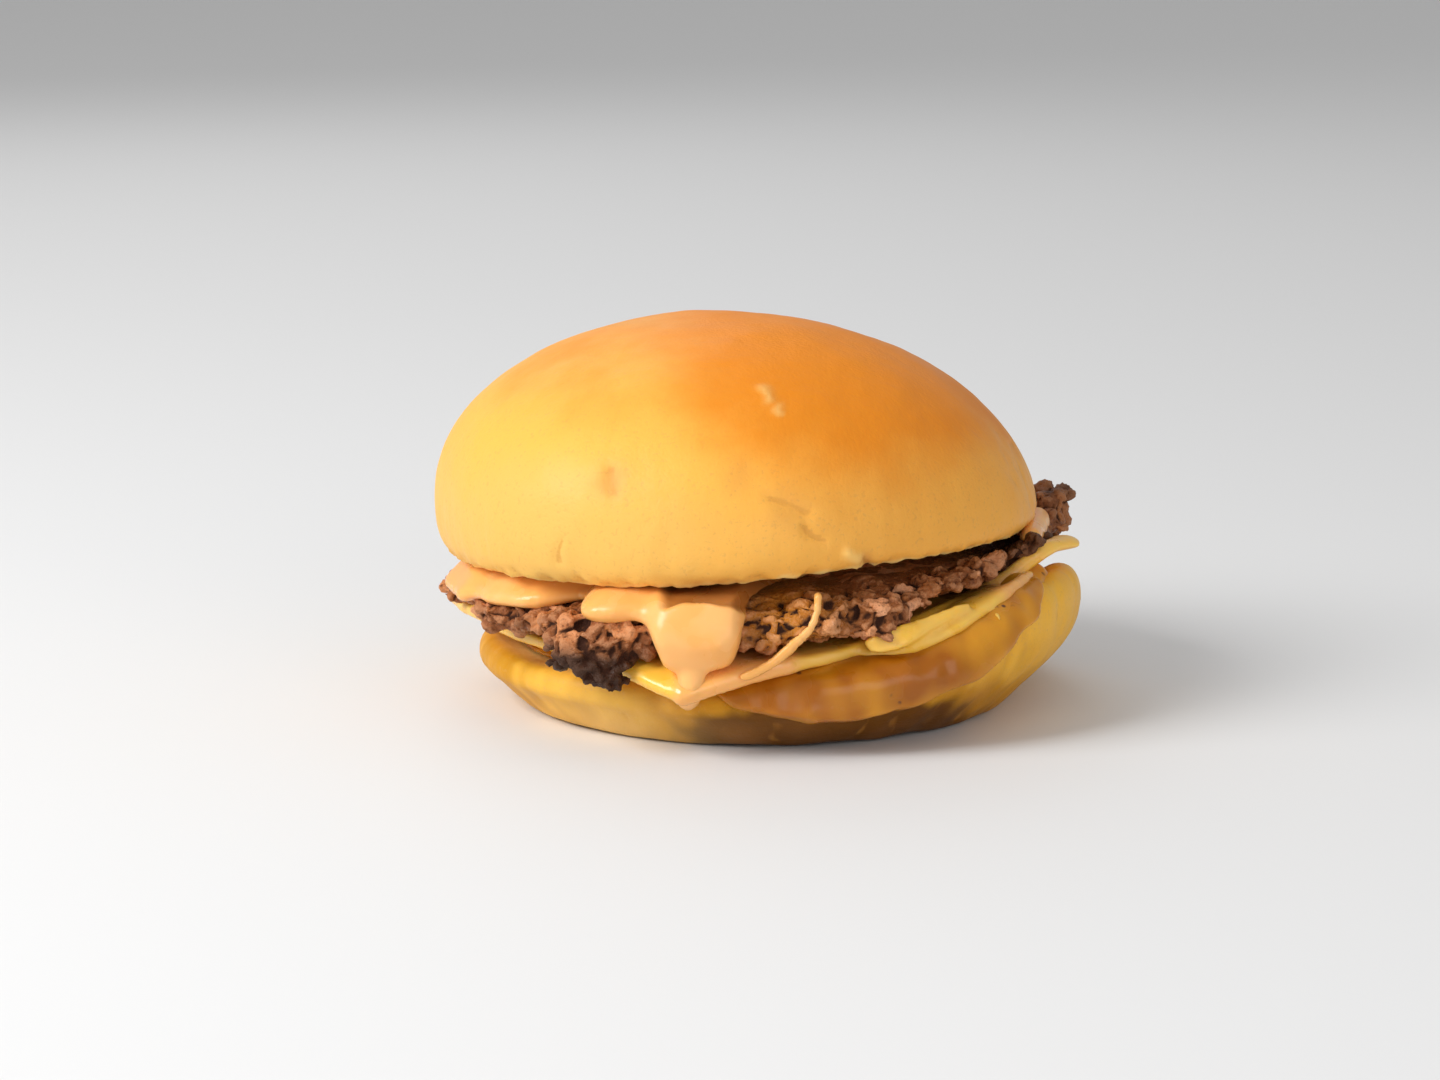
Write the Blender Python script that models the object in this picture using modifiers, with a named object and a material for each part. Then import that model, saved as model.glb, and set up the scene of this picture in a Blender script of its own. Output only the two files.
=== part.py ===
"""Cheeseburger in a soft round bun, built bottom to top as it is eaten.

Heel of the bun, a smear of sauce that runs down its front, one melted square slice of cheese,
one smashed patty with a craggy edge, a second sauce that hangs in drips, and the domed crown.

Sizes are in millimetres and angles in degrees until a point is written to a mesh, in metres.
The origin is on the resting face, +X is to the right, +Y to the back and +Z up.
An angle of 0 points right, -90 to the front, 180 left and 90 to the back.
"""

import math

import bmesh
import bpy
from mathutils import Vector, noise

MM = 0.001
GAP = 0.35  # clearance that touching pieces keep

# Heel, the lower half of the bun
HEEL_X = 4.5  # it sits a little right of the crown
HEEL_BASE_RADIUS = 42.5
HEEL_RIM_RADIUS = 50.2  # at the front and the back
HEEL_RIM_SPREAD = 2.4  # how much wider it is from side to side
HEEL_RIM_SHIFT = 2.8  # the rim reaches further out on the right
HEEL_RIM_LOW = 11.2  # rim height on the left
HEEL_RIM_RISE = 13.3  # how much higher the rim stands on the right
HEEL_PEAK_AT = -14.0  # where the rim is highest
HEEL_PEAK_FRONT = 30.0  # how far the high part of the rim goes on towards the front
HEEL_PEAK_BACK = 45.0  # and towards the back
HEEL_PEAK_FLATNESS = 3.0
LIP_SIZE = 4.2  # rounding of the rim, less where the rim is low
LIP_SHARE = 0.32
LIP_DEPTH = 0.8  # how far in the rounding starts, in sizes of the lip
LIP_SINK = 0.25  # how far the seat's edge has sunk there
HEEL_FULLNESS_LEFT = 0.95  # share of the height at which the side is widest
HEEL_FULLNESS_RIGHT = 0.75
SEAT_HEIGHT = 12.4  # cut face of the heel at X = 0
SEAT_TILT = 0.075  # rise of the cut face for each millimetre to the right
SEAT_STEP_POWER = 0.62  # below 1, so that mesh rows crowd towards the rim
SEAT_CURL = 4.0  # how late the cut face turns up into the rim
SEAT_CURL_HIGH = 4.5  # how much later it does so under the high part of the rim
HEEL_BASE_SHARES = (0.93, 0.5, 0.0)  # rings of the flat base

# Lower sauce
SMEAR_THICKNESS = 1.0
SMEAR_REACH = 0.9  # share of the heel's radius that the smear covers
APRON_LOWEST_AT = -72.0  # the sauce runs over the rim at the front and the front right
APRON_LOW = 4.8  # lowest point of the apron's hem
APRON_LEFT_CLIMB = 0.013  # how fast its hem climbs to the left and to the right
APRON_RIGHT_CLIMB = 0.047
APRON_CLIMB_POWER = 1.45
APRON_LEFT_END = -128.0
APRON_ROOM = 2.0  # the apron ends where its hem comes this near to the rim
HEM_THICKNESS = 0.5
SMEAR_STATIONS = (0.0, 0.36, 0.60, 0.73, 0.80, 0.87, 0.94, 1.0)  # shares of its length, last at the hem
LIP_CLEARANCE = 0.9  # extra room where the smear bends over the rim
LIP_CLEARANCE_HIGH = 0.8  # and more of it where the rim is high
SLOPE_CLEARANCE = 1.2  # extra room above the smear where the seat is steep
SLOPE_IN = (18.0, 10.0)  # distances from the rim between which that room grows
SLOPE_OUT = (5.0, 1.0)  # and between which it fades
LIP_REACH = 5.5  # how far from the rim that room fades out

# Cheese, one square slice laid corner to the front
CHEESE_SIDE = 83.0
CHEESE_THICKNESS = 2.6
CHEESE_TURN = 31.4
CHEESE_X = 4.3
CHEESE_Y = 2.0
CHEESE_BULGE = 0.17  # melted sides spread outwards
CHEESE_CORNERS = (
    # angle, half width, fall beyond the rim (a rise where negative)
    (-104.0, 30.0, 4.8),
    (166.0, 30.0, 0.5),
    (-12.0, 15.0, 4.4),
    (76.0, 34.0, 3.6),
)
CHEESE_PULLS = (
    # angle, half width, share by which the edge is drawn in beside the right corner
    (-36.0, 13.0, 0.13),
    (11.0, 11.0, 0.11),
)
CORNER_START = 1.0  # where a corner leaves the rim, measured inwards from it
CORNER_RUN = 7.0  # distance in which it has fallen by the full amount
CORNER_CURVE = 1.3  # 1 falls straight, more bends down later
CORNER_ROUNDING = 0.018  # share by which the tips of the corners are rounded off
CORNER_TIP = 8  # how close to the tip that starts
SLICE_EDGE = 0.7  # bevel of the slice's edges

# Patty
PATTY_X = 2.5
PATTY_RADIUS = 51.6
PATTY_TOP = 25.4  # upper face at X = 0
PATTY_TOP_TILT = 0.078
PATTY_EDGE_POWER = 5.0  # roundness of the edge: 2 is an ellipse, more is squarer
PATTY_LOBES = (
    # angle, half width, how far the outline stands out
    (21.0, 12.0, 9.2),
    (-119.0, 10.0, 4.4),
    (172.0, 14.0, 1.6),
    (-150.0, 8.0, 1.8),
    (-60.0, 16.0, -2.0),
    (-14.0, 10.0, 1.2),
    (60.0, 12.0, -1.8),
    (118.0, 13.0, 2.0),
)
CRUST_ANGLE = -121.5  # a crisp flap that hangs over the front left
CRUST_HALF_WIDTH = 7.0
CRUST_DROP = 5.2
CHUNK_ANGLE = 21.0  # a thick lump that stands out at the back right
CHUNK_HALF_WIDTH = 11.0
CHUNK_RISE = 6.0
CHUNK_BAND = (0.87, 0.95)  # shares of the radius over which it rises
FRONT_GAP_ANGLE = -42.0  # at the front right the patty's edge stays clear of crown and cheese
FRONT_GAP_HALF_WIDTH = 36.0
FRONT_GAP_ABOVE = 2.4
FRONT_GAP_BELOW = 2.2
FRONT_GAP_TOP_BAND = (0.82, 0.96)
FRONT_GAP_UNDER_BAND = (0.6, 0.95)
CRAG_DEPTH = 4.2
CRAG_SIZE = 8.0
CRAG_FLATNESS = 1.3  # the lumps are this much wider than high
CRAG_TOP = 0.6  # relief at the middle of a lump, in depths
CRAG_FALL = 1.5  # how fast it falls towards the valleys
CRAG_FINE = 0.35  # finer lumps on top, in depths
CRAG_FINE_SCALE = 2.7  # and how many times smaller they are
CRAG_BAND = (0.6, 0.9)  # shares of the radius over which the relief grows
CRAG_LIFT = 0.8  # share of the relief that goes up and down, not out
COVER_FADE = (4.0, 14.0)  # degrees past the sauce over which the relief comes back
COVER_SINK = 0.5  # how far the patty sinks in under the sauce
COVER_DROP = (0.5, 3.0)  # drops of sauce from which the edge below is smooth too, and fully so
CRUST_BAND = (0.955, 1.0)
CRUST_RAGGED = 0.7
CRUST_UNDER = 1.5  # its lower side falls this much further
CROWN_MARGIN = 1.0  # the patty stays under the crown this far beyond its side
CHEESE_MARGIN = 8.0  # and above the cheese this far beyond the heel's rim
CHEESE_MARGIN_CRUST = 2.0  # but less where the crisp flap hangs

# Upper sauce
FILM_REACH = 40.0  # where the film stops under the crown, in degrees of the patty's section
FILM_EDGE = 1.1
DRIPS = (
    # angle, half width, flatness, reach in section degrees, drop below the waist, thickness
    (-166.0, 11.0, 6.0, 44.0, 0.6, 1.5),
    (-145.0, 12.0, 4.0, 28.0, 0.0, 1.5),
    (-116.5, 8.0, 4.0, 30.0, 0.0, 2.4),
    (-99.8, 9.2, 8.0, 50.0, 4.4, 4.6),
    (-2.0, 6.0, 2.0, 22.0, 0.0, 1.9),
    (-46.0, 40.0, 8.0, -22.0, 0.0, FILM_EDGE),
    (128.0, 12.0, 3.0, 34.0, 0.0, 2.0),
    (72.0, 9.0, 2.0, 26.0, 0.0, 1.8),
    (20.0, 10.0, 3.0, -14.0, 0.0, FILM_EDGE),
)

# Crown, the upper half of the bun
CROWN_RADIUS = 52.3
CROWN_WAIST = 33.6  # height at which it is widest
CROWN_DOME = 32.8  # height of the dome above the waist
CROWN_LEAN = 3.6  # how far its top leans to the left
CROWN_RIM_RADIUS = 50.4
CROWN_FACE = 28.45  # cut face of the crown at X = 0
CROWN_FACE_TILT = 0.05
CROWN_ARCH = 1.3  # the cut edge arches up at the front right
CROWN_ARCH_X = 21.0
CROWN_ARCH_HALF_WIDTH = 24.0
CROWN_ARCH_BAND = (8.0, 36.0)  # distances in front of the middle over which the arch grows
CROWN_ROUNDING = 1.4  # how far the side tucks in above the cut edge
CROWN_SIDE_SHARES = (0.35, 0.65, 0.88, 1.0)  # rows from the waist to the cut edge
CROWN_FACE_SHARES = (0.8, 0.45, 0.0)  # rings of the cut face
CROWN_DIMPLES = (
    # X, height, half width, depth, all on the front
    (-20.5, 36.0, 3.4, 0.55),
    (-1.0, 37.0, 3.2, 0.45),
    (8.0, 32.6, 4.4, 0.5),
    (20.0, 30.2, 2.6, 0.8),
)

# Cutter that keeps the upper sauce clear of the patty
PATTY_ROOM = 0.45
DRIP_EDGE = 0.4  # share of its thickness that the sauce has at its lower end
SAUCE_DEPTH = 1.8  # how deep the uncut sauce reaches into the patty
DRIP_STATIONS = (0.0, 0.42, 0.68, 0.84, 0.94, 1.0)  # shares of the reach, the last at the lower end
DEPTH_BAND = (-0.5, 0.9)  # shares over which the sauce reaches its depth
SWELL_BAND = (-0.4, 0.7)  # shares over which it reaches its thickness
ROOF_BAND = (0.6, 0.9)  # shares over which it leaves the crown's cut face
FALL_START = 0.55  # share from which a drip falls
FALL_SWELL = 0.3  # how far it stands out as it falls

# Mesh density
PATTY_COLUMNS = 112
PATTY_ROWS = 16
BUN_COLUMNS = 56
HEEL_SEAT_STEPS = 9
HEEL_SIDE_STEPS = 7
LIP_STEPS = 3
SMEAR_STEPS = 24
CROWN_DOME_STEPS = 12
CHEESE_CELLS = 16

COLOURS = {
    # base colour, roughness
    "crumb_heel": ((0.72, 0.40, 0.12), 0.55),
    "sauce_orange": ((0.66, 0.24, 0.05), 0.3),
    "cheese_yellow": ((0.88, 0.52, 0.10), 0.35),
    "meat_brown": ((0.16, 0.07, 0.04), 0.6),
    "sauce_peach": ((0.90, 0.47, 0.17), 0.25),
    "crust_gold": ((0.82, 0.41, 0.09), 0.4),
}


def bell(angle, centre, half_width, power=2.0):
    """1 at the centre angle, falling to 0 past the half width; a high power gives a flat top."""
    away = abs((angle - centre + 180.0) % 360.0 - 180.0)
    return math.exp(-((away / half_width) ** power))


def ramp(value, start, end):
    """Smooth step from 0 at start to 1 at end."""
    share = min(max((value - start) / (end - start), 0.0), 1.0)
    return share * share * (3.0 - 2.0 * share)


def wobble(angle, size, seed):
    """Gentle unevenness round a food outline, seamless at 180 degrees."""
    turn = math.radians(angle)
    return size * noise.noise(Vector((1.6 * math.cos(turn) + seed, 1.6 * math.sin(turn), seed)))


def polar(centre_x, x, y):
    """Angle and distance of a point as seen from the given X on the axis."""
    across = x - centre_x
    return math.degrees(math.atan2(y, across)), math.hypot(across, y)


def heel_rim_radius(angle):
    across = math.cos(math.radians(angle))
    oval = HEEL_RIM_RADIUS + HEEL_RIM_SPREAD * across * across
    return oval + HEEL_RIM_SHIFT * across + wobble(angle, 1.6, 3.0)


def heel_peak(angle):
    """1 where the rim is highest, falling to 0 round both sides."""
    ahead = (angle - HEEL_PEAK_AT + 180.0) % 360.0 < 180.0
    return bell(angle, HEEL_PEAK_AT, HEEL_PEAK_BACK if ahead else HEEL_PEAK_FRONT, HEEL_PEAK_FLATNESS)


def heel_rim_height(angle):
    return HEEL_RIM_LOW + HEEL_RIM_RISE * heel_peak(angle) + wobble(angle, 1.2, 7.0)


def heel_lip(angle):
    return min(heel_rim_height(angle) * LIP_SHARE, LIP_SIZE)


def seat_height(x, y):
    """Cut face of the heel, turning up into the rim; level with the rim beyond it."""
    angle, distance = polar(HEEL_X, x, y)
    plane = SEAT_HEIGHT + SEAT_TILT * x
    late = SEAT_CURL + SEAT_CURL_HIGH * heel_peak(angle)
    edge = heel_rim_radius(angle) - LIP_DEPTH * heel_lip(angle)
    curl = min(distance / edge, 1.0) ** late
    return plane + (heel_rim_height(angle) - plane) * curl


def heel_side(angle, height):
    """Radius of the heel's flared side at a height."""
    right = (1.0 + math.cos(math.radians(angle))) / 2.0
    fullness = HEEL_FULLNESS_LEFT + (HEEL_FULLNESS_RIGHT - HEEL_FULLNESS_LEFT) * right
    share = min(height / heel_rim_height(angle) / fullness, 1.0)
    flare = math.sin(share * math.pi / 2.0)
    return HEEL_BASE_RADIUS + (heel_rim_radius(angle) - HEEL_BASE_RADIUS) * flare


def heel_outline(angle, steps_seat, steps_side):
    """Section points of the heel from the middle of the seat over the rim and down to the base."""
    rim = heel_rim_radius(angle)
    lip = heel_lip(angle)
    edge = rim - LIP_DEPTH * lip
    turn = math.radians(angle)
    points = []
    for step in range(steps_seat + 1):
        radius = edge * (step / steps_seat) ** SEAT_STEP_POWER
        height = seat_height(HEEL_X + radius * math.cos(turn), radius * math.sin(turn))
        points.append((radius, height - LIP_SINK * lip * ramp(radius, edge - LIP_REACH, rim)))
    top = points[-1][1]
    for step in range(1, LIP_STEPS + 1):
        bend = step / LIP_STEPS * math.pi / 2.0
        radius = edge + LIP_DEPTH * lip * math.sin(bend)
        points.append((min(radius, heel_side(angle, top)), top - lip * (1.0 - math.cos(bend))))
    low = points[-1][1]
    for step in range(1, steps_side + 1):
        height = low * (1.0 - step / steps_side)
        points.append((heel_side(angle, height), height))
    return points


def offset_outward(points, distances):
    """The points moved along the section's outward normal by a distance each."""
    moved = []
    for index, (radius, height) in enumerate(points):
        before = points[max(index - 1, 0)]
        after = points[min(index + 1, len(points) - 1)]
        run, drop = after[0] - before[0], after[1] - before[1]
        length = math.hypot(run, drop) or 1.0
        reach = distances[index]
        out = 0.0 if index == 0 else -drop / length * reach
        moved.append((max(radius + out, 0.0), height + run / length * reach))
    return moved


def along(points, shares):
    """Points at the given shares of a polyline's length."""
    lengths = [0.0]
    for first, second in zip(points, points[1:]):
        lengths.append(lengths[-1] + math.dist(first, second))
    found = []
    for share in shares:
        target = share * lengths[-1]
        index = 1
        while index < len(points) - 1 and lengths[index] < target:
            index += 1
        span = lengths[index] - lengths[index - 1]
        part = 0.0 if span == 0.0 else (target - lengths[index - 1]) / span
        first, second = points[index - 1], points[index]
        found.append(tuple(a + (b - a) * part for a, b in zip(first, second)))
    return found


def lip_room(angle, distance):
    """Extra clearance over the rim of the heel, most where the rim is high, fading out inwards."""
    inwards = max(heel_rim_radius(angle) - distance, 0.0)
    room = LIP_CLEARANCE + LIP_CLEARANCE_HIGH * heel_peak(angle)
    return room * math.exp(-((inwards / LIP_REACH) ** 2))


def cheese_under(x, y):
    """Lower face of the slice: on the smear inside the rim, curling or falling at its corners."""
    angle, distance = polar(HEEL_X, x, y)
    height = seat_height(x, y) + 2.0 * GAP + SMEAR_THICKNESS + lip_room(angle, distance)
    rim = heel_rim_radius(angle)
    slope = ramp(distance, *[rim - inwards for inwards in SLOPE_IN])
    slope *= 1.0 - ramp(distance, *[rim - inwards for inwards in SLOPE_OUT])
    height += SLOPE_CLEARANCE * heel_peak(angle) * slope
    beyond = max(distance - rim + CORNER_START, 0.0) / CORNER_RUN
    for centre, half_width, fall in CHEESE_CORNERS:
        height -= fall * bell(angle, centre, half_width) * beyond ** CORNER_CURVE
    return height


def cheese_top(x, y):
    return cheese_under(x, y) + CHEESE_THICKNESS


def crown_face(x, y):
    """Cut face of the crown, resting on what is below and arched up at the front right."""
    arch = math.exp(-(((x - CROWN_ARCH_X) / CROWN_ARCH_HALF_WIDTH) ** 2))
    return CROWN_FACE + CROWN_FACE_TILT * x + CROWN_ARCH * arch * ramp(-y, *CROWN_ARCH_BAND)


def patty_radius(angle):
    radius = PATTY_RADIUS + wobble(angle, 1.5, 11.0)
    for centre, half_width, out in PATTY_LOBES:
        radius += out * bell(angle, centre, half_width)
    return radius


def patty_faces(angle, radius, share):
    """Upper and lower height of the smooth patty at a distance from its middle."""
    turn = math.radians(angle)
    x, y = PATTY_X + radius * math.cos(turn), radius * math.sin(turn)
    top = PATTY_TOP + PATTY_TOP_TILT * x
    top += CHUNK_RISE * bell(angle, CHUNK_ANGLE, CHUNK_HALF_WIDTH, 3.0) * ramp(share, *CHUNK_BAND)
    front_gap = bell(angle, FRONT_GAP_ANGLE, FRONT_GAP_HALF_WIDTH, 4.0)
    top -= FRONT_GAP_ABOVE * front_gap * ramp(share, *FRONT_GAP_TOP_BAND)
    under = cheese_top(x, y) + GAP + FRONT_GAP_BELOW * front_gap * ramp(share, *FRONT_GAP_UNDER_BAND)
    return top, under


def patty_section(angle, degrees, extra=0.0):
    """Point of the smooth patty's section; 0 degrees is the middle of the top, 90 the waist.

    The extra distance moves the section outwards, for what lies on the patty.
    """
    turn = math.radians(degrees)
    power = 2.0 / PATTY_EDGE_POWER
    share = abs(math.sin(turn)) ** power
    lift = math.copysign(abs(math.cos(turn)) ** power, math.cos(turn))
    radius = patty_radius(angle) * share
    top, under = patty_faces(angle, radius, share)
    height = (top + under) / 2.0 + lift * (top - under) / 2.0
    return radius + extra * share, height + extra * lift, share, lift


def drip_reach(angle):
    """How far the upper sauce reaches at an angle, its fall below the waist and its thickness."""
    reach, drop, thickness = FILM_REACH + wobble(angle, 9.0, 17.0), 0.0, FILM_EDGE
    for centre, half_width, flatness, further, fall, depth in DRIPS:
        strength = bell(angle, centre, half_width, flatness)
        reach += further * strength
        drop += fall * strength
        thickness += (depth - FILM_EDGE) * strength
    return min(reach, 90.0), drop, thickness


def crags(x, y, z):
    """Lumps of ground meat: rounded tops with sharp valleys between, from -1 to about 0.6."""
    spot = Vector((x, y, CRAG_FLATNESS * z)) / CRAG_SIZE
    nearest = noise.voronoi(spot)[0][0]
    fine = noise.noise(spot * CRAG_FINE_SCALE)
    return CRAG_TOP - CRAG_FALL * nearest + CRAG_FINE * fine


def heel_section(angle):
    points = heel_outline(angle, HEEL_SEAT_STEPS, HEEL_SIDE_STEPS)
    base = [(HEEL_BASE_RADIUS * share, 0.0) for share in HEEL_BASE_SHARES]
    return [(HEEL_X, radius, height) for radius, height in points + base]


def smear_section(angle):
    """Skin on the seat of the heel that goes over its rim inside the apron."""
    outline = heel_outline(angle, SMEAR_STEPS, SMEAR_STEPS)
    seat, side = outline[:SMEAR_STEPS + 1], outline[SMEAR_STEPS + 1:]
    covered = [point for point in seat if point[0] <= SMEAR_REACH * heel_rim_radius(angle)]
    away = angle - APRON_LOWEST_AT
    climb = APRON_RIGHT_CLIMB if away > 0.0 else APRON_LEFT_CLIMB
    hem = APRON_LOW + climb * abs(away) ** APRON_CLIMB_POWER + wobble(angle, 1.6, 23.0)
    if angle > APRON_LEFT_END and hem < heel_rim_height(angle) - APRON_ROOM:
        covered = seat + [point for point in side if point[1] >= hem]
    stations = along(covered, SMEAR_STATIONS)
    rooms = [GAP + lip_room(angle, radius) for radius, height in stations]
    depths = [SMEAR_THICKNESS] * (len(stations) - 1) + [HEM_THICKNESS]
    upper = offset_outward(stations, [room + depth for room, depth in zip(rooms, depths)])
    lower = offset_outward(stations, rooms)
    return [(HEEL_X, radius, height) for radius, height in upper + lower[::-1]]


def crust_drop(angle, share, lift):
    """How far the edge hangs down where it is a crisp flap."""
    hang = bell(angle, CRUST_ANGLE, CRUST_HALF_WIDTH, 3.0) * ramp(share, *CRUST_BAND)
    ragged = 1.0 + wobble(4.0 * angle, CRUST_RAGGED, 37.0)
    under = CRUST_UNDER if lift < 0.0 else 1.0
    return CRUST_DROP * hang * ragged * (1.0 - lift) / 2.0 * under


def craggy_section(angle, room=0.0):
    """Patty with its relief: full at the edge, little under the sauce or where it lies on cheese.

    Room moves the whole surface outwards, for the cutter that keeps the sauce clear of it.
    """
    reach, drop, thickness = drip_reach(angle)
    points = []
    for step in range(PATTY_ROWS + 1):
        degrees = 180.0 * step / PATTY_ROWS
        radius, height, share, lift = patty_section(angle, degrees)
        turn = math.radians(angle)
        x, y = PATTY_X + radius * math.cos(turn), radius * math.sin(turn)
        relief = CRAG_DEPTH * crags(x, y, height) * ramp(share, *CRAG_BAND)
        covered = 1.0 - ramp(degrees, *[reach + further for further in COVER_FADE])
        if drop > COVER_DROP[0]:
            covered = max(covered, min(drop / COVER_DROP[1], 1.0))
        relief = relief * (1.0 - covered) - COVER_SINK * covered * share
        radius += relief * share
        height += CRAG_LIFT * relief * lift
        height -= crust_drop(angle, share, lift)
        x, y = PATTY_X + radius * math.cos(turn), radius * math.sin(turn)
        if math.hypot(x, y) < CROWN_RADIUS + CROWN_MARGIN:
            height = min(height, crown_face(x, y) - GAP)
        hanging = bell(angle, CRUST_ANGLE, 1.4 * CRUST_HALF_WIDTH, 8.0)
        margin = CHEESE_MARGIN + (CHEESE_MARGIN_CRUST - CHEESE_MARGIN) * hanging
        if polar(HEEL_X, x, y)[1] < heel_rim_radius(angle) + margin:
            height = max(height, cheese_top(x, y) + GAP)
        points.append((PATTY_X, radius + room * share, height + room * lift))
    return points


def patty_room_section(angle):
    return craggy_section(angle, PATTY_ROOM)


def drip_section(angle):
    """Sauce on the patty: a film under the crown that runs over the edge in drips."""
    reach, drop, thickness = drip_reach(angle)
    inner, outer = [], []
    for share in DRIP_STATIONS:
        degrees = reach * share
        edge = 1.0 if share < 1.0 else DRIP_EDGE
        near = patty_section(angle, degrees, -SAUCE_DEPTH * edge * ramp(share, *DEPTH_BAND))
        far = patty_section(angle, degrees, GAP + thickness * edge * ramp(share, *SWELL_BAND))
        radius, height = far[0], far[1]
        turn = math.radians(angle)
        x, y = PATTY_X + radius * math.cos(turn), radius * math.sin(turn)
        roof = crown_face(x, y) - GAP
        if share < ROOF_BAND[1]:
            height += (roof - height) * (1.0 - ramp(share, *ROOF_BAND))
        if math.hypot(x, y) < CROWN_RADIUS:
            height = min(height, roof)
        fall = drop * ramp(share, FALL_START, 1.0)
        inner.append((near[0], near[1] - fall))
        outer.append((radius + FALL_SWELL * min(fall, 1.0), height - fall))
    return [(PATTY_X, radius, height) for radius, height in outer + inner[::-1]]


def crown_section(angle):
    """Dome, waist, the small curve in to the rim, and the cut face."""
    turn = math.radians(angle)
    radius = CROWN_RADIUS + wobble(angle, 0.8, 29.0)
    rim = CROWN_RIM_RADIUS + wobble(angle, 1.0, 31.0)
    points = []
    for step in range(CROWN_DOME_STEPS + 1):
        rise = math.radians(90.0 * (1.0 - step / CROWN_DOME_STEPS))
        points.append((radius * math.cos(rise), CROWN_WAIST + CROWN_DOME * math.sin(rise)))
    x, y = rim * math.cos(turn), rim * math.sin(turn)
    face = crown_face(x, y)
    tuck = rim - CROWN_ROUNDING
    for share in CROWN_SIDE_SHARES:
        bend = share * math.pi / 2.0
        drop = (CROWN_WAIST - face) * math.sin(bend)
        points.append((tuck + (radius - tuck) * math.cos(bend), CROWN_WAIST - drop))
    for share in CROWN_FACE_SHARES:
        inner = rim * share
        height = crown_face(inner * math.cos(turn), inner * math.sin(turn))
        points.append((inner, height))
    lean = [-CROWN_LEAN * max((height - CROWN_WAIST) / CROWN_DOME, 0.0) for radius, height in points]
    return [(shift, point[0], point[1]) for shift, point in zip(lean, points)]


def dimple(point):
    """Shallow dents that the front of the crown shows."""
    x, y, z = point
    depth = 0.0
    if y < 0.0:
        for centre_x, centre_z, half_width, deep in CROWN_DIMPLES:
            away = math.hypot(x - centre_x, z - centre_z) / half_width
            depth += deep * math.exp(-away * away)
    out = Vector((x, y, 0.0)).normalized() if math.hypot(x, y) > 1.0 else Vector((0.0, 0.0, 0.0))
    return Vector(point) - out * depth


def new_object(name, mesh, material, collection):
    piece = bpy.data.objects.new(name, mesh)
    piece.data.materials.append(material)
    collection.objects.link(piece)
    return piece


def turned_piece(name, columns, section, material, collection, finish=Vector):
    """A sphere whose rows are moved on to a section that changes as it goes round."""
    rows = len(section(0.0)) - 1
    ball = bmesh.new()
    bmesh.ops.create_uvsphere(ball, u_segments=columns, v_segments=rows, radius=1.0)
    sections = {}
    for vert in ball.verts:
        row = round(math.acos(max(-1.0, min(1.0, vert.co.z))) / math.pi * rows)
        at_pole = row in (0, rows)
        angle = 0.0 if at_pole else round(math.degrees(math.atan2(vert.co.y, vert.co.x)), 3)
        if angle not in sections:
            sections[angle] = section(angle)
        centre, radius, height = sections[angle][row]
        turn = math.radians(angle)
        out = 0.0 if at_pole else radius
        vert.co = finish((centre + out * math.cos(turn), out * math.sin(turn), height)) * MM
    mesh = bpy.data.meshes.new(name)
    bmesh.ops.triangulate(ball, faces=ball.faces)
    bmesh.ops.recalc_face_normals(ball, faces=ball.faces)
    ball.to_mesh(mesh)
    ball.free()
    mesh.shade_smooth()
    return new_object(name, mesh, material, collection)


def cheese_slice(name, material, collection):
    """A grid draped over the seat, given its thickness and softened edges by modifiers."""
    grid = bmesh.new()
    bmesh.ops.create_grid(grid, x_segments=CHEESE_CELLS, y_segments=CHEESE_CELLS, size=1.0)
    turn = math.radians(CHEESE_TURN)
    half = CHEESE_SIDE / 2.0
    for vert in grid.verts:
        u, v = vert.co.x, vert.co.y
        across = half * u * (1.0 + CHEESE_BULGE * (1.0 - v * v) * u * u)
        deep = half * v * (1.0 + CHEESE_BULGE * (1.0 - u * u) * v * v)
        corner = 1.0 - CORNER_ROUNDING * (u * v) ** CORNER_TIP
        x = corner * (across * math.cos(turn) - deep * math.sin(turn))
        y = corner * (across * math.sin(turn) + deep * math.cos(turn))
        angle, distance = polar(0.0, x, y)
        pull = sum(share * bell(angle, centre, width) for centre, width, share in CHEESE_PULLS)
        drawn_in = 1.0 - pull * ramp(distance, 0.6 * half, half)
        x, y = CHEESE_X + drawn_in * x, CHEESE_Y + drawn_in * y
        vert.co = Vector((x, y, cheese_under(x, y) + CHEESE_THICKNESS / 2.0)) * MM
    mesh = bpy.data.meshes.new(name)
    grid.to_mesh(mesh)
    grid.free()
    mesh.shade_smooth()
    piece = new_object(name, mesh, material, collection)
    thick = piece.modifiers.new("thickness", "SOLIDIFY")
    thick.thickness = CHEESE_THICKNESS * MM
    thick.offset = 0.0
    soft = piece.modifiers.new("soft_edges", "BEVEL")
    soft.width = SLICE_EDGE * MM
    soft.segments = 2
    soft.limit_method = "ANGLE"
    soft.angle_limit = math.radians(50.0)
    return piece


def cut(piece, cutter):
    """Take the cutter's space out of a piece, and leave the cutter out of what is shown."""
    cutter.hide_render = True
    cutter.display_type = "WIRE"
    clear = piece.modifiers.new("clearance", "BOOLEAN")
    clear.operation = "DIFFERENCE"
    clear.solver = "MANIFOLD"
    clear.object = cutter


def make_material(name):
    colour, roughness = COLOURS[name]
    material = bpy.data.materials.new(name)
    material.use_nodes = True
    shader = material.node_tree.nodes["Principled BSDF"]
    shader.inputs["Base Color"].default_value = (*colour, 1.0)
    shader.inputs["Roughness"].default_value = roughness
    shader.inputs["Metallic"].default_value = 0.0
    material.diffuse_color = (*colour, 1.0)
    return material


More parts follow.
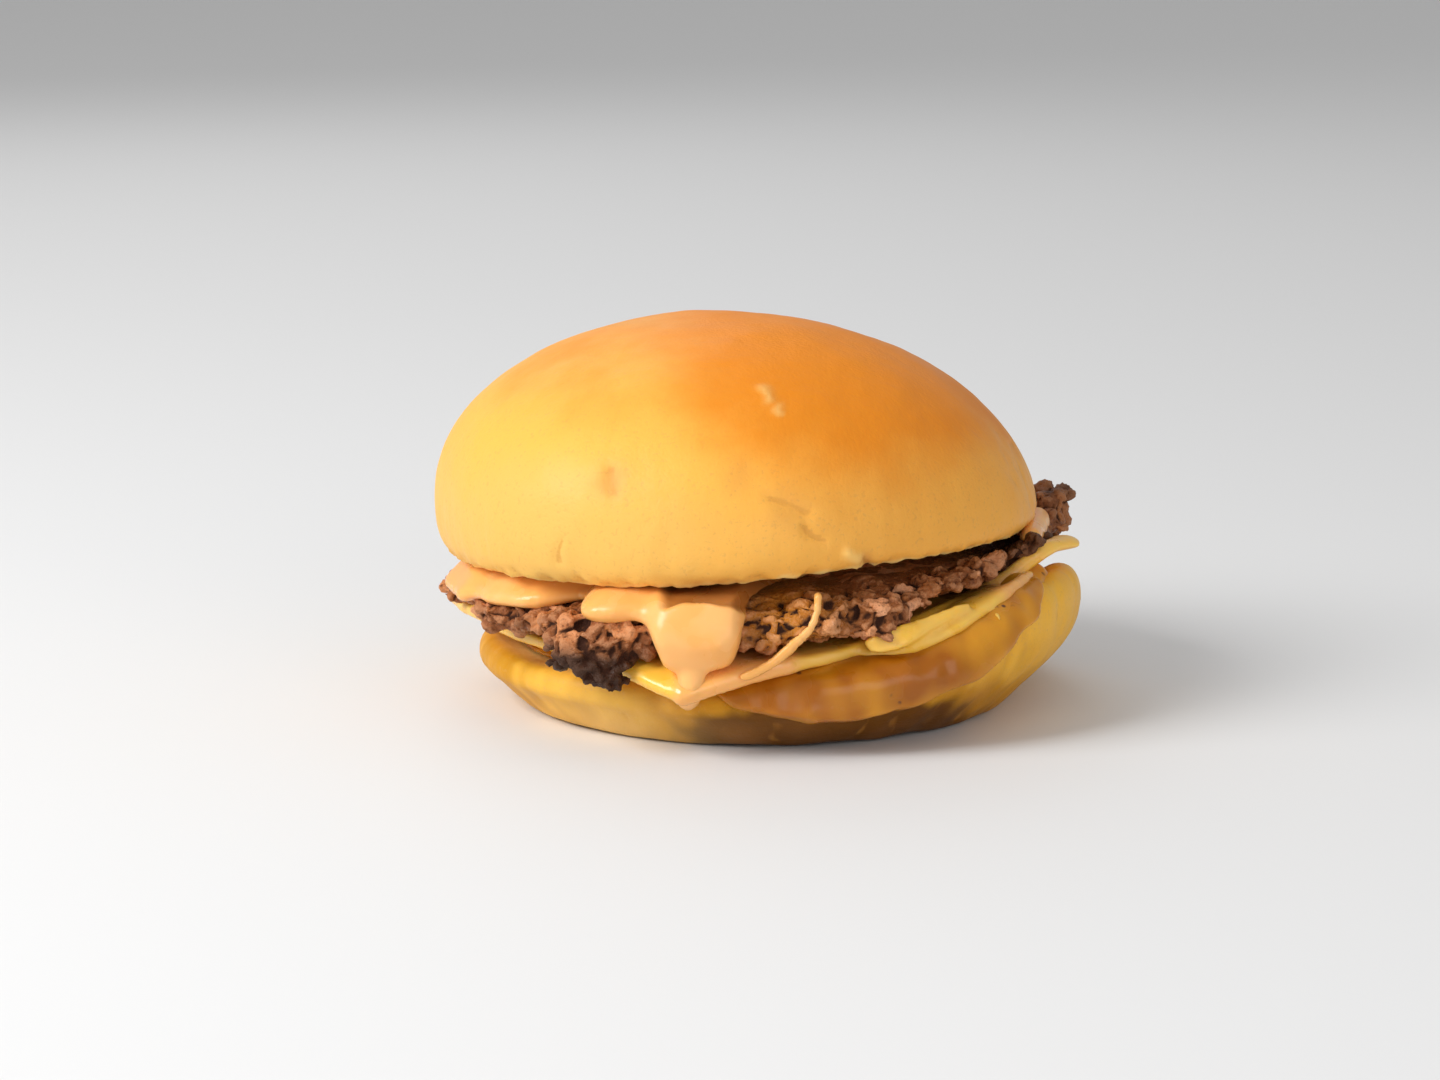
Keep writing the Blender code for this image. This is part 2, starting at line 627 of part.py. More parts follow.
def main():
    for old in list(bpy.data.objects):
        bpy.data.objects.remove(old, do_unlink=True)
    burger = bpy.data.collections.new("cheeseburger")
    cutters = bpy.data.collections.new("cutters")
    bpy.context.scene.collection.children.link(burger)
    bpy.context.scene.collection.children.link(cutters)
    finish = {name: make_material(name) for name in COLOURS}
    turned_piece("bun_bottom", BUN_COLUMNS, heel_section, finish["crumb_heel"], burger)
    turned_piece("sauce_lower", BUN_COLUMNS, smear_section, finish["sauce_orange"], burger)
    cheese_slice("cheese", finish["cheese_yellow"], burger)
    turned_piece("patty", PATTY_COLUMNS, craggy_section, finish["meat_brown"], burger)
    drips = turned_piece("sauce_upper", PATTY_COLUMNS, drip_section, finish["sauce_peach"], burger)
    room = turned_piece("patty_room", PATTY_COLUMNS, patty_room_section, finish["meat_brown"], cutters)
    cut(drips, room)
    turned_piece("bun_top", BUN_COLUMNS, crown_section, finish["crust_gold"], burger, dimple)


main()
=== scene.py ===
"""Looks of a cheeseburger in a soft round bun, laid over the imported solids.

Every layer is copied from its solid, made fine and smooth, and given its own relief and finish.
Sizes in the formulas are millimetres; meshes and Blender's own values are metres.
The object stands on Z = 0 with +X to the right, +Y to the back, and an angle of -90 to the front.
"""

import math

import bmesh
import bpy
import numpy as np
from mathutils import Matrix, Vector, noise
from mathutils.bvhtree import BVHTree


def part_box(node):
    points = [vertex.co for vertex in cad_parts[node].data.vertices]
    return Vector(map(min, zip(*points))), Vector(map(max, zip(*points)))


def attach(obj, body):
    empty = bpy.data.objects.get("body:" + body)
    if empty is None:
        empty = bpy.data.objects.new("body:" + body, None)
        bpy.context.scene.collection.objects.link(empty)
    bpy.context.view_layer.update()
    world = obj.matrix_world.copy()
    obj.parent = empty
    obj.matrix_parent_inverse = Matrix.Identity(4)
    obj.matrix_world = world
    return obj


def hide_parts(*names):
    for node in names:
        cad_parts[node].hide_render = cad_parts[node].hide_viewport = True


bl_info = {
    "name": "Cheeseburger looks",
    "version": (1, 0, 0),
    "blender": (4, 5, 0),
    "location": "View3D > Sidebar > Cheeseburger",
    "description": "Fine surfaces and finishes for a cheeseburger, piece by piece",
    "category": "Object",
}

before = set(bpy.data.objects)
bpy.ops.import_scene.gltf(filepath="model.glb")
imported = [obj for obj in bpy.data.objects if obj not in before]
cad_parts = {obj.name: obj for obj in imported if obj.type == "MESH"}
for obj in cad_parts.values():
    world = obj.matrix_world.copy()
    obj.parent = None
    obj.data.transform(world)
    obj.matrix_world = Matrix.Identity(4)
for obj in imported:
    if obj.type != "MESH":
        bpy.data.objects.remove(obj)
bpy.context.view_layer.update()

MM = 0.001

# Top of the crown, read from its imported solid, and height where its crust starts, in millimetres
CROWN_TOP = (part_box("bun_top")[1] / MM).z
CROWN_FOOT = 28.0

# Middle of the heel and of the patty along X, in millimetres; the crown's is 0
HEEL_X = 4.5
PATTY_X = 2.5


def colour_property(name, description, default):
    return bpy.props.FloatVectorProperty(
        name=name, description=description, default=default, size=3, min=0.0, max=1.0, subtype="COLOR"
    )


def length_property(name, description, default):
    return bpy.props.FloatProperty(
        name=name, description=description, default=default, min=0.0, subtype="DISTANCE", unit="LENGTH"
    )


def power_property(name, description, default):
    return bpy.props.FloatProperty(
        name=name, description=description, default=default, min=0.0, unit="POWER"
    )


class BunSettings(bpy.types.PropertyGroup):
    """Sizes and colours of the two halves of the bun."""

    pale: colour_property("Pale side", "Crust low on the side, where it baked least", (0.80, 0.465, 0.11))
    gold: colour_property("Gold", "Crust half way up", (0.94, 0.46, 0.075))
    amber: colour_property("Amber top", "Crust on top, where it baked most", (0.82, 0.255, 0.010))
    heel_side: colour_property("Heel side", "Side of the lower half", (0.86, 0.46, 0.05))
    mesh_step: length_property("Mesh step", "Size of the faces before relief", 0.75 * MM)


class MeatSettings(bpy.types.PropertyGroup):
    """Sizes and colours of the patty."""

    crumb_radius: length_property("Crumb radius", "Radius of the lumps of ground meat", 2.0 * MM)
    crumb_gap: length_property("Crumb spacing", "Mean distance between lumps", 3.3 * MM)
    mesh_step: length_property("Mesh step", "Size of the faces before relief", 0.53 * MM)
    brown: colour_property("Brown", "Most of the meat", (0.56, 0.18, 0.036))
    pink: colour_property("Pinkish brown", "Lumps that browned less", (0.80, 0.38, 0.20))
    scorch: colour_property("Scorch", "Dark crisp crust", (0.036, 0.013, 0.006))


class DairySettings(bpy.types.PropertyGroup):
    """Colours of the cheese and the two sauces."""

    cheese: colour_property("Cheese", "Melted cheese", (0.94, 0.51, 0.055))
    peach: colour_property("Peach sauce", "Thick sauce on the patty", (0.91, 0.43, 0.115))
    # Also painted shade on the thick sauce just under the crown
    glaze: colour_property("Meat glaze", "Peach sauce where it thins out on the meat", (0.30, 0.085, 0.010))
    orange: colour_property("Orange sauce", "Thin sauce on the heel", (0.36, 0.105, 0.002))
    speck: colour_property("Spice", "Specks in the orange sauce", (0.12, 0.035, 0.008))
    mesh_step: length_property("Mesh step", "Size of the faces before relief", 0.5 * MM)


class StageSettings(bpy.types.PropertyGroup):
    """Floor and light."""

    floor: colour_property("Floor", "Plain pale floor", (0.80, 0.80, 0.80))
    key_power: power_property("Key light", "Power of the soft light at the left", 10.2)
    fill_power: power_property("Fill light", "Power of the weak light at the front", 3.1)
    sky: bpy.props.FloatProperty(
        name="Sky", description="Strength of the even light all round", default=0.45, min=0.0
    )


# Camera at the angle of the photograph, in metres, with its lens in millimetres
CAMERA_AIM = (-3.1 * MM, 0.0, 26.7 * MM)
CAMERA_DISTANCE = 0.698
CAMERA_LIFT = math.radians(11.0)
CAMERA_LENS = 100.0

# Soft lights: place and size in metres
KEY_LIGHT = ((-0.78, -0.36, 0.66), 0.55)
FILL_LIGHT = ((0.4, -0.95, 0.22), 0.8)
BACK_LIGHT = ((-0.3, 0.9, 0.7), 0.7)
LIGHT_AIM = Vector((0.0, 0.0, 0.03))
# Power of the back light as a share of the key light's
BACK_SHARE = 0.15


# Formulas

def bell(away):
    """1 where the distance is 0, falling smoothly to 0 past 1."""
    return np.exp(-np.square(away))


def step_up(value, start, end):
    """Smooth rise from 0 at start to 1 at end."""
    share = np.clip((value - start) / (end - start), 0.0, 1.0)
    return share * share * (3.0 - 2.0 * share)


def uneven(points, size, seed):
    """Smooth unevenness between about -1 and 1, with swells of the given size."""
    shift = Vector((seed, 2.3 * seed, 0.7 * seed))
    return np.array([noise.noise(Vector(point) + shift) for point in (points / size).tolist()])


def bend(points, size, reach):
    """Points moved about by smooth unevenness, so that what is drawn from them wanders."""
    return points + reach * np.column_stack([uneven(points, size, seed) for seed in (81.0, 82.0, 83.0)])


def drawn_out(points, share):
    """Points at a share of their height, so that what is drawn from them runs downwards."""
    return points * (1.0, 1.0, share)


def cells(points, size):
    """Cell pattern: how near each point is to a border between cells, and a number for its cell."""
    gap, tone = [], []
    for point in (points / size).tolist():
        distances, centres = noise.voronoi(Vector(point))
        gap.append(distances[1] - distances[0])
        tone.append(noise.cell(centres[0] * 7.3))
    return np.array(gap), np.array(tone)


def around(points, centre_x=0.0):
    """Angle in degrees and distance from the axis of each point."""
    across = points[:, 0] - centre_x
    return np.degrees(np.arctan2(points[:, 1], across)), np.hypot(across, points[:, 1])


def on_drum(angle, radius, height):
    """Points on an upright drum, for a pattern that runs round a side."""
    turn = np.radians(angle)
    return np.column_stack((radius * np.cos(turn), radius * np.sin(turn), height))


def turned_from(angle, centre):
    """Degrees between an angle and a centre angle, with its sign."""
    return (angle - centre + 180.0) % 360.0 - 180.0


def facing(angle, stretch):
    """Bell along a stretch of a rim, which is its middle angle and its reach in degrees."""
    middle, reach = stretch
    return bell(turned_from(angle, middle) / reach)


# Meshes

# Number of faces from the top of a sheet to its hem
SHEET_STEPS = 6


def new_piece(name, mesh):
    piece = bpy.data.objects.new(name, mesh)
    bpy.context.scene.collection.objects.link(piece)
    return piece


def copy_of_node(node, name):
    """The node's mesh as a new object, with doubles merged and triangles paired into quads."""
    form = bmesh.new()
    form.from_mesh(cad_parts[node].data)
    bmesh.ops.remove_doubles(form, verts=form.verts, dist=0.01 * MM)
    flat = math.radians(40.0)
    bmesh.ops.join_triangles(form, faces=form.faces, angle_face_threshold=flat, angle_shape_threshold=flat)
    mesh = bpy.data.meshes.new(name)
    form.to_mesh(mesh)
    form.free()
    return new_piece(name, mesh)


def settle(piece):
    """Turn the piece's modifiers into plain mesh."""
    graph = bpy.context.evaluated_depsgraph_get()
    mesh = bpy.data.meshes.new_from_object(piece.evaluated_get(graph))
    old = piece.data
    piece.modifiers.clear()
    piece.data = mesh
    bpy.data.meshes.remove(old)


def refine(piece, mesh_step, rounds, smoothing):
    """Round the piece off, fuse its parts into one mesh of even small faces, and smooth it."""
    if rounds:
        rounded = piece.modifiers.new("rounded", "SUBSURF")
        rounded.levels = rounds
        rounded.render_levels = rounds
    even = piece.modifiers.new("even", "REMESH")
    even.mode = "VOXEL"
    even.voxel_size = mesh_step
    soft = piece.modifiers.new("soft", "SMOOTH")
    soft.factor = 0.5
    soft.iterations = smoothing
    settle(piece)


def surface_of(*nodes):
    """Search tree of the surface of some solids together, in metres."""
    corners, faces = [], []
    for node in nodes:
        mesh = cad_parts[node].data
        faces += [[index + len(corners) for index in face.vertices] for face in mesh.polygons]
        corners += [vert.co for vert in mesh.vertices]
    return BVHTree.FromPolygons(corners, faces)


def seen_height(points):
    """How high points stand when they are seen from the camera's elevation, in millimetres."""
    return points[:, 2] * math.cos(CAMERA_LIFT) + points[:, 1] * math.sin(CAMERA_LIFT)


def seen_point(surface, x, height, out):
    """Point that the camera sees at X and seen height, moved out of the surface, in millimetres."""
    start = Vector((x, -200.0, (height + 200.0 * math.sin(CAMERA_LIFT)) / math.cos(CAMERA_LIFT)))
    ahead = Vector((0.0, math.cos(CAMERA_LIFT), -math.sin(CAMERA_LIFT)))
    hit, normal = surface.ray_cast(start * MM, ahead)[:2]
    if hit is None:
        hit, normal = surface.find_nearest((start + 150.0 * ahead) * MM)[:2]
    return hit / MM + normal * out


def laid(surface, route):
    """Places on a surface, each with its radius: X, seen height, distance out of the surface, radius."""
    return [(seen_point(surface, x, height, out), radius) for x, height, out, radius in route]


def in_air(x, height, y):
    """Point at X, seen height and Y, in millimetres."""
    return Vector((x, y, (height - y * math.sin(CAMERA_LIFT)) / math.cos(CAMERA_LIFT)))


def hung(route):
    """Places in the air, each with its radius: X, seen height, Y, radius."""
    return [(in_air(x, height, y), radius) for x, height, y, radius in route]


def add_rope(piece, path):
    """Join a smooth rope through places, each with its radius, to the piece's mesh."""
    curve = bpy.data.curves.new("rope", "CURVE")
    curve.dimensions = "3D"
    curve.bevel_depth = MM
    curve.bevel_resolution = 4
    curve.use_fill_caps = True
    line = curve.splines.new("NURBS")
    line.points.add(len(path) - 1)
    line.use_endpoint_u = True
    line.order_u = 3
    for point, (place, radius) in zip(line.points, path):
        point.co = (*(place * MM), 1.0)
        point.radius = radius
    join(piece, new_piece("rope", curve))
    bpy.data.curves.remove(curve)


def rows_between(upper, lower, place):
    """Rows of points from one route to another; place makes a point of an entry's three values."""
    rows = []
    for top, bottom in zip(upper, lower):
        shares = (step / SHEET_STEPS for step in range(SHEET_STEPS + 1))
        rows.append([place(*(a + (b - a) * share for a, b in zip(top, bottom))) for share in shares])
    return rows


def add_sheet(piece, rows, thickness):
    """Join a soft sheet through rows of points to the piece's mesh, to be fused with it by refine."""
    row = len(rows[0])
    points = [point * MM for line in rows for point in line]
    faces = [
        (corner, corner + 1, corner + row + 1, corner + row)
        for start in range(0, len(points) - row, row)
        for corner in range(start, start + row - 1)
    ]
    mesh = bpy.data.meshes.new("sheet")
    mesh.from_pydata(points, [], faces)
    sheet = new_piece("sheet", mesh)
    rounded = sheet.modifiers.new("rounded", "SUBSURF")
    rounded.levels = 1
    rounded.render_levels = 1
    eased = sheet.modifiers.new("eased", "SMOOTH")
    eased.iterations = 4
    thick = sheet.modifiers.new("thick", "SOLIDIFY")
    thick.thickness = thickness * MM
    thick.offset = 0.0
    join(piece, sheet)
    bpy.data.meshes.remove(mesh)


def join(piece, extra):
    """Add another object's closed mesh to the piece's mesh, and remove that object."""
    graph = bpy.context.evaluated_depsgraph_get()
    mesh = bpy.data.meshes.new_from_object(extra.evaluated_get(graph))
    form = bmesh.new()
    form.from_mesh(mesh)
    bmesh.ops.remove_doubles(form, verts=form.verts, dist=0.001 * MM)
    bmesh.ops.recalc_face_normals(form, faces=form.faces)
    form.from_mesh(piece.data)
    form.to_mesh(piece.data)
    form.free()
    bpy.data.objects.remove(extra)
    bpy.data.meshes.remove(mesh)


def read(collection, key):
    values = np.empty(len(collection) * 3, np.float32)
    collection.foreach_get(key, values)
    return values.reshape(-1, 3).astype(float)


def points_of(piece):
    """Vertices in millimetres."""
    return read(piece.data.vertices, "co") / MM


def normals_of(piece):
    return read(piece.data.vertex_normals, "vector")


def write_points(piece, points):
    piece.data.vertices.foreach_set("co", (points * MM).astype(np.float32).ravel())
    piece.data.update()


def swell(piece, out):
    """Move each vertex along its normal by a number of millimetres."""
    write_points(piece, points_of(piece) + normals_of(piece) * out[:, None])


def store(piece, name, values):
    """Keep a number for each vertex, for the piece's material."""
    attribute = piece.data.attributes.new(name, "FLOAT", "POINT")
    attribute.data.foreach_set("value", np.asarray(values, np.float32))


def blurred(piece, rounds):
    """Vertices after each has moved to the mean of its neighbours, a number of times."""
    points = points_of(piece)
    edges = np.empty(len(piece.data.edges) * 2, np.int32)
    piece.data.edges.foreach_get("vertices", edges)
    first, second = edges.reshape(-1, 2).T
    count = np.bincount(np.concatenate((first, second)), minlength=len(points))[:, None]
    for turn in range(rounds):
        total = np.zeros_like(points)
        for axis in range(3):
            total[:, axis] = np.bincount(first, points[second, axis], len(points))
            total[:, axis] += np.bincount(second, points[first, axis], len(points))
        points = total / count
    return points


def store_cavity(piece, rounds, depth):
    """Store how far each vertex lies below its surroundings: 0 on a ridge, 1 in a crevice."""
    below = ((blurred(piece, rounds) - points_of(piece)) * normals_of(piece)).sum(axis=1)
    store(piece, "cavity", np.clip(0.5 + 0.5 * below / depth, 0.0, 1.0))


def hand_over(piece, material, node):
    """Give a finished piece its material and its body, and hide the solid that it stands for."""
    piece.data.materials.clear()
    piece.data.materials.append(material)
    piece.data.shade_smooth()
    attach(piece, "root")
    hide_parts(node)


# Shader building

def add(tree, kind, inputs=None, **settings):
    """Add a node; an input is a value, or a socket to link from."""
    made = tree.nodes.new(kind)
    for key, value in settings.items():
        setattr(made, key, value)
    for key, value in (inputs or {}).items():
        if isinstance(value, bpy.types.NodeSocket):
            tree.links.new(value, made.inputs[key])
        else:
            made.inputs[key].default_value = value
    return made


def attribute(tree, name):
    return add(tree, "ShaderNodeAttribute", attribute_name=name).outputs["Fac"]


def calculate(tree, operation, first, second, third=0.0):
    node = add(tree, "ShaderNodeMath", {0: first, 1: second, 2: third}, operation=operation)
    return node.outputs[0]


def remap(tree, value, start, end, low=0.0, high=1.0):
    inputs = {"Value": value, "From Min": start, "From Max": end, "To Min": low, "To Max": high}
    return add(tree, "ShaderNodeMapRange", inputs, interpolation_type="SMOOTHSTEP").outputs["Result"]


def grain(tree, place, scale, detail, stretch=(1.0, 1.0, 1.0)):
    moved = add(tree, "ShaderNodeMapping", {"Vector": place, "Scale": stretch}).outputs["Vector"]
    inputs = {"Vector": moved, "Scale": scale, "Detail": detail, "Roughness": 0.55}
    return add(tree, "ShaderNodeTexNoise", inputs).outputs["Fac"]


def blend(tree, share, first, second):
    """Mix two colours, each a colour or a socket."""
    node = add(tree, "ShaderNodeMix", data_type="RGBA", blend_type="MIX")
    for index, value in ((0, share), (6, first), (7, second)):
        if isinstance(value, bpy.types.NodeSocket):
            tree.links.new(value, node.inputs[index])
        elif index == 0:
            node.inputs[index].default_value = value
        else:
            node.inputs[index].default_value = (*value, 1.0)
    return node.outputs[2]


def object_place(tree):
    return add(tree, "ShaderNodeTexCoord").outputs["Object"]


def shader_group(name, inputs, outputs):
    """A shader node group with float inputs (name, default) and float outputs."""
    group = bpy.data.node_groups.new(name, "ShaderNodeTree")
    for label, default in inputs:
        socket = group.interface.new_socket(label, in_out="INPUT", socket_type="NodeSocketFloat")
        socket.default_value = default
    for label in outputs:
        group.interface.new_socket(label, in_out="OUTPUT", socket_type="NodeSocketFloat")
    start = group.nodes.new("NodeGroupInput")
    end = group.nodes.new("NodeGroupOutput")
    return group, start, end


def crust_skin_group():
    """Baked skin that both halves share: pores, faint wrinkles round the side, and soft mottling."""
    group, start, end = shader_group(
        "crust_skin",
        (("Pore Scale", 900.0), ("Wrinkle Scale", 60.0), ("Wrinkle Depth", 0.5)),
        ("Height", "Mottle", "Pores"),
    )
    place = object_place(group)
    pores = grain(group, place, start.outputs["Pore Scale"], 2.0)
    wrinkles = grain(group, place, start.outputs["Wrinkle Scale"], 3.0, (3.2, 3.2, 0.55))
    mottle = grain(group, place, 55.0, 7.0)
    deep = calculate(group, "MULTIPLY", wrinkles, start.outputs["Wrinkle Depth"])
    height = calculate(group, "MULTIPLY_ADD", pores, 0.25, deep)
    group.links.new(height, end.inputs["Height"])
    group.links.new(mottle, end.inputs["Mottle"])
    group.links.new(remap(group, pores, 0.30, 0.42, 1.0, 0.0), end.inputs["Pores"])
    return group


def wet_group():
    """Fine ripples on the sauces and the cheese, and a mask of drier patches."""
    group, start, end = shader_group(
        "wet_surface", (("Ripple Scale", 260.0), ("Patch Scale", 90.0)), ("Height", "Dry")
    )
    place = object_place(group)
    ripple = grain(group, place, start.outputs["Ripple Scale"], 2.0)
    patch = grain(group, place, start.outputs["Patch Scale"], 3.0)
    group.links.new(ripple, end.inputs["Height"])
    group.links.new(remap(group, patch, 0.42, 0.62), end.inputs["Dry"])
    return group


def shared_group(name):
    makers = {"crust_skin": crust_skin_group, "wet_surface": wet_group}
    return bpy.data.node_groups.get(name) or makers[name]()


def use_group(tree, name, **values):
    node = tree.nodes.new("ShaderNodeGroup")
    node.node_tree = shared_group(name)
    for key, value in values.items():
        node.inputs[key.replace("_", " ").title()].default_value = value
    return node.outputs


def new_material(name, **constants):
    """A material and its Principled shader, with the values that are the same all over."""
    material = bpy.data.materials.new(name)
    material.use_nodes = True
    shader = material.node_tree.nodes["Principled BSDF"]
    for key, value in constants.items():
        shader.inputs[key.replace("_", " ").title().replace("Ior", "IOR")].default_value = value
    return material, material.node_tree, shader


def relief(tree, shader, height, distance):
    bump = add(tree, "ShaderNodeBump", {"Height": height, "Distance": distance, "Strength": 1.0})
    tree.links.new(bump.outputs["Normal"], shader.inputs["Normal"])


# Tints that go with the colours in the settings

CRUST_PORE = (0.62, 0.33, 0.09)
# Painted shade in the crown's dents and low on its right, and random darker blotches on the heel
CRUST_BLUSH_AND_SHADE = (0.50, 0.20, 0.05)
# Painted shade in creases and hollows of the crust
CRUST_CREVICE_SHADE = (0.60, 0.26, 0.045)
# Pale torn crumb, and painted highlights on two blisters of the crown
PALE_CRUMB_AND_HIGHLIGHT = (0.90, 0.60, 0.20)
HEEL_BROWN = (0.58, 0.26, 0.008)
# Darker base of the heel, deepest at the front of its foot, where it is painted shade
HEEL_DARK_BASE_AND_SHADE = (0.14, 0.047, 0.0008)
MEAT_DARK_GRAIN = (0.19, 0.058, 0.02)
MEAT_LIGHT_FLECK = (0.64, 0.30, 0.15)
MEAT_DARK_FLECK = (0.12, 0.036, 0.012)
MEAT_GLAZE = (0.70, 0.27, 0.035)
# Painted light on the ridges of the meat
MEAT_RIDGE_HIGHLIGHT = (0.76, 0.35, 0.16)
# Painted shade in the crevices of the meat
MEAT_CREVICE_SHADE = (0.045, 0.014, 0.006)
CHEESE_PALE = (0.95, 0.60, 0.15)
PEACH_PALE = (0.95, 0.52, 0.20)
ORANGE_PALE = (0.44, 0.14, 0.004)
# Thin orange sauce, also painted light towards the upper right of the sauce on the heel
ORANGE_THIN_AND_LIT = (0.66, 0.28, 0.014)


def crust_material(name, low, middle, top):
    """Baked crust: colour by how well it baked, partly painted shade, darker dents and creases as painted
    shade, pale crumb with painted highlights, and a thin dull glaze.
    """
    material, tree, shader = new_material(
        name, Subsurface_Weight=0.08, Subsurface_Scale=0.004, Coat_Weight=0.04, Coat_Roughness=0.3,
        Specular_IOR_Level=0.14,
    )
    shader.inputs["Subsurface Radius"].default_value = (1.0, 0.40, 0.10)
    skin = use_group(tree, "crust_skin", pore_scale=1500.0, wrinkle_scale=55.0, wrinkle_depth=0.6)
    even = calculate(tree, "SUBTRACT", attribute(tree, "bake_and_shade"), 0.19)
    bake_and_shade = calculate(tree, "MULTIPLY_ADD", skin["Mottle"], 0.54, even)
    colour = blend(tree, remap(tree, bake_and_shade, 0.10, 0.55), low, middle)
    pores = calculate(tree, "MULTIPLY", skin["Pores"], 0.35)
    colour = blend(tree, pores, colour, CRUST_PORE)
    colour = blend(tree, remap(tree, bake_and_shade, 0.50, 1.05), colour, top)
    colour = blend(tree, attribute(tree, "blush_and_shade"), colour, CRUST_BLUSH_AND_SHADE)
    colour = blend(tree, attribute(tree, "crumb_and_highlight"), colour, PALE_CRUMB_AND_HIGHLIGHT)
    # Painted shade: darker in creases and hollows
    cavity = remap(tree, attribute(tree, "cavity"), 0.6, 0.95, 0.0, 0.45)
    colour = blend(tree, cavity, colour, CRUST_CREVICE_SHADE)
    tree.links.new(colour, shader.inputs["Base Color"])
    dull = remap(tree, skin["Mottle"], 0.3, 0.7, 0.40, 0.52)
    tree.links.new(dull, shader.inputs["Roughness"])
    relief(tree, shader, skin["Height"], 0.28 * MM)
    return material


def meat_material(settings):
    """Browned ground meat: pinkish lumps, painted light on the ridges, painted shade in the crevices,
    scorched crust and fatty glints.
    """
    material, tree, shader = new_material("ground_meat", Specular_IOR_Level=0.28)
    place = object_place(tree)
    lump = attribute(tree, "lump")
    soft = grain(tree, place, 210.0, 3.0)
    fine = grain(tree, place, 1300.0, 4.0)
    light = calculate(tree, "MULTIPLY_ADD", soft, 0.8, lump)
    pink = calculate(tree, "MULTIPLY", remap(tree, light, 0.55, 1.15), attribute(tree, "pink"))
    colour = blend(tree, remap(tree, lump, 0.45, 0.0, 0.0, 0.75), settings.brown, MEAT_DARK_GRAIN)
    colour = blend(tree, pink, colour, settings.pink)
    colour = blend(tree, remap(tree, fine, 0.54, 0.72, 0.0, 0.45), colour, MEAT_LIGHT_FLECK)
    colour = blend(tree, remap(tree, fine, 0.46, 0.28, 0.0, 0.65), colour, MEAT_DARK_FLECK)
    colour = blend(tree, attribute(tree, "glaze"), colour, MEAT_GLAZE)
    # Painted light on the ridges
    ridge_highlight = remap(tree, attribute(tree, "cavity"), 0.42, 0.1, 0.0, 0.4)
    colour = blend(tree, ridge_highlight, colour, MEAT_RIDGE_HIGHLIGHT)
    colour = blend(tree, attribute(tree, "scorch"), colour, settings.scorch)
    # Painted shade in the crevices
    shaded_crevice = remap(tree, attribute(tree, "cavity"), 0.52, 0.90)
    colour = blend(tree, shaded_crevice, colour, MEAT_CREVICE_SHADE)
    tree.links.new(colour, shader.inputs["Base Color"])
    wet = calculate(tree, "SUBTRACT", remap(tree, soft, 0.35, 0.6, 0.34, 0.62), attribute(tree, "glaze"))
    wet = calculate(tree, "MAXIMUM", calculate(tree, "ADD", wet, shaded_crevice), 0.2)
    tree.links.new(wet, shader.inputs["Roughness"])
    relief(tree, shader, fine, 0.7 * MM)
    return material


def cheese_material(settings):
    """Melted cheese, satin, with the sauce that coats its front corner."""
    material, tree, shader = new_material(
        "melted_cheese", Subsurface_Weight=0.25, Subsurface_Scale=0.003, Coat_Weight=0.2, Coat_Roughness=0.2
    )
    shader.inputs["Subsurface Radius"].default_value = (1.0, 0.5, 0.12)
    wet = use_group(tree, "wet_surface", ripple_scale=240.0, patch_scale=120.0)
    colour = blend(tree, remap(tree, wet["Dry"], 0.0, 1.0, 0.0, 0.35), settings.cheese, CHEESE_PALE)
    sauced = attribute(tree, "sauced")
    colour = blend(tree, sauced, colour, settings.peach)
    tree.links.new(colour, shader.inputs["Base Color"])
    dull = remap(tree, wet["Dry"], 0.0, 1.0, 0.26, 0.40)
    tree.links.new(calculate(tree, "MULTIPLY_ADD", sauced, -0.1, dull), shader.inputs["Roughness"])
    relief(tree, shader, wet["Height"], 0.10 * MM)
    return material


def sauce_material(name, roughness, thick, pale, thin_and_shade, speck=None):
    """Glossy sauce, by its thickness and the painted shade stored with it, with spice specks where a speck
    colour is given.
    """
    material, tree, shader = new_material(
        name, Subsurface_Weight=0.25, Subsurface_Scale=0.003, Coat_Weight=0.15, Coat_Roughness=0.18,
        Specular_IOR_Level=0.3,
    )
    shader.inputs["Subsurface Radius"].default_value = (1.0, 0.5, 0.2)
    wet = use_group(tree, "wet_surface", ripple_scale=170.0, patch_scale=80.0)
    colour = blend(tree, remap(tree, wet["Dry"], 0.0, 1.0, 0.0, 0.5), thick, pale)
    # Thin sauce colour, which also carries painted shade and painted light
    colour = blend(tree, attribute(tree, "thin_and_shade"), colour, thin_and_shade)
    if speck is not None:
        place = object_place(tree)
        dots = add(tree, "ShaderNodeTexVoronoi", {"Vector": place, "Scale": 420.0}).outputs["Distance"]
        rare = remap(tree, grain(tree, place, 160.0, 1.0), 0.60, 0.66)
        spot = calculate(tree, "MULTIPLY", remap(tree, dots, 0.24, 0.12), rare)
        colour = blend(tree, spot, colour, speck)
    tree.links.new(colour, shader.inputs["Base Color"])
    dull = remap(tree, wet["Dry"], 0.0, 1.0, roughness, roughness + 0.12)
    tree.links.new(dull, shader.inputs["Roughness"])
    relief(tree, shader, wet["Height"], 0.10 * MM)
    return material


# Bun

# Radius of the side that each half's wrinkles are drawn on
CROWN_RADIUS = 52.0
HEEL_RADIUS = 50.0
# Distances from the axis between which the rim of each half begins
CROWN_RIM = (46.0, 50.0)
HEEL_RIM = (44.0, 48.0)

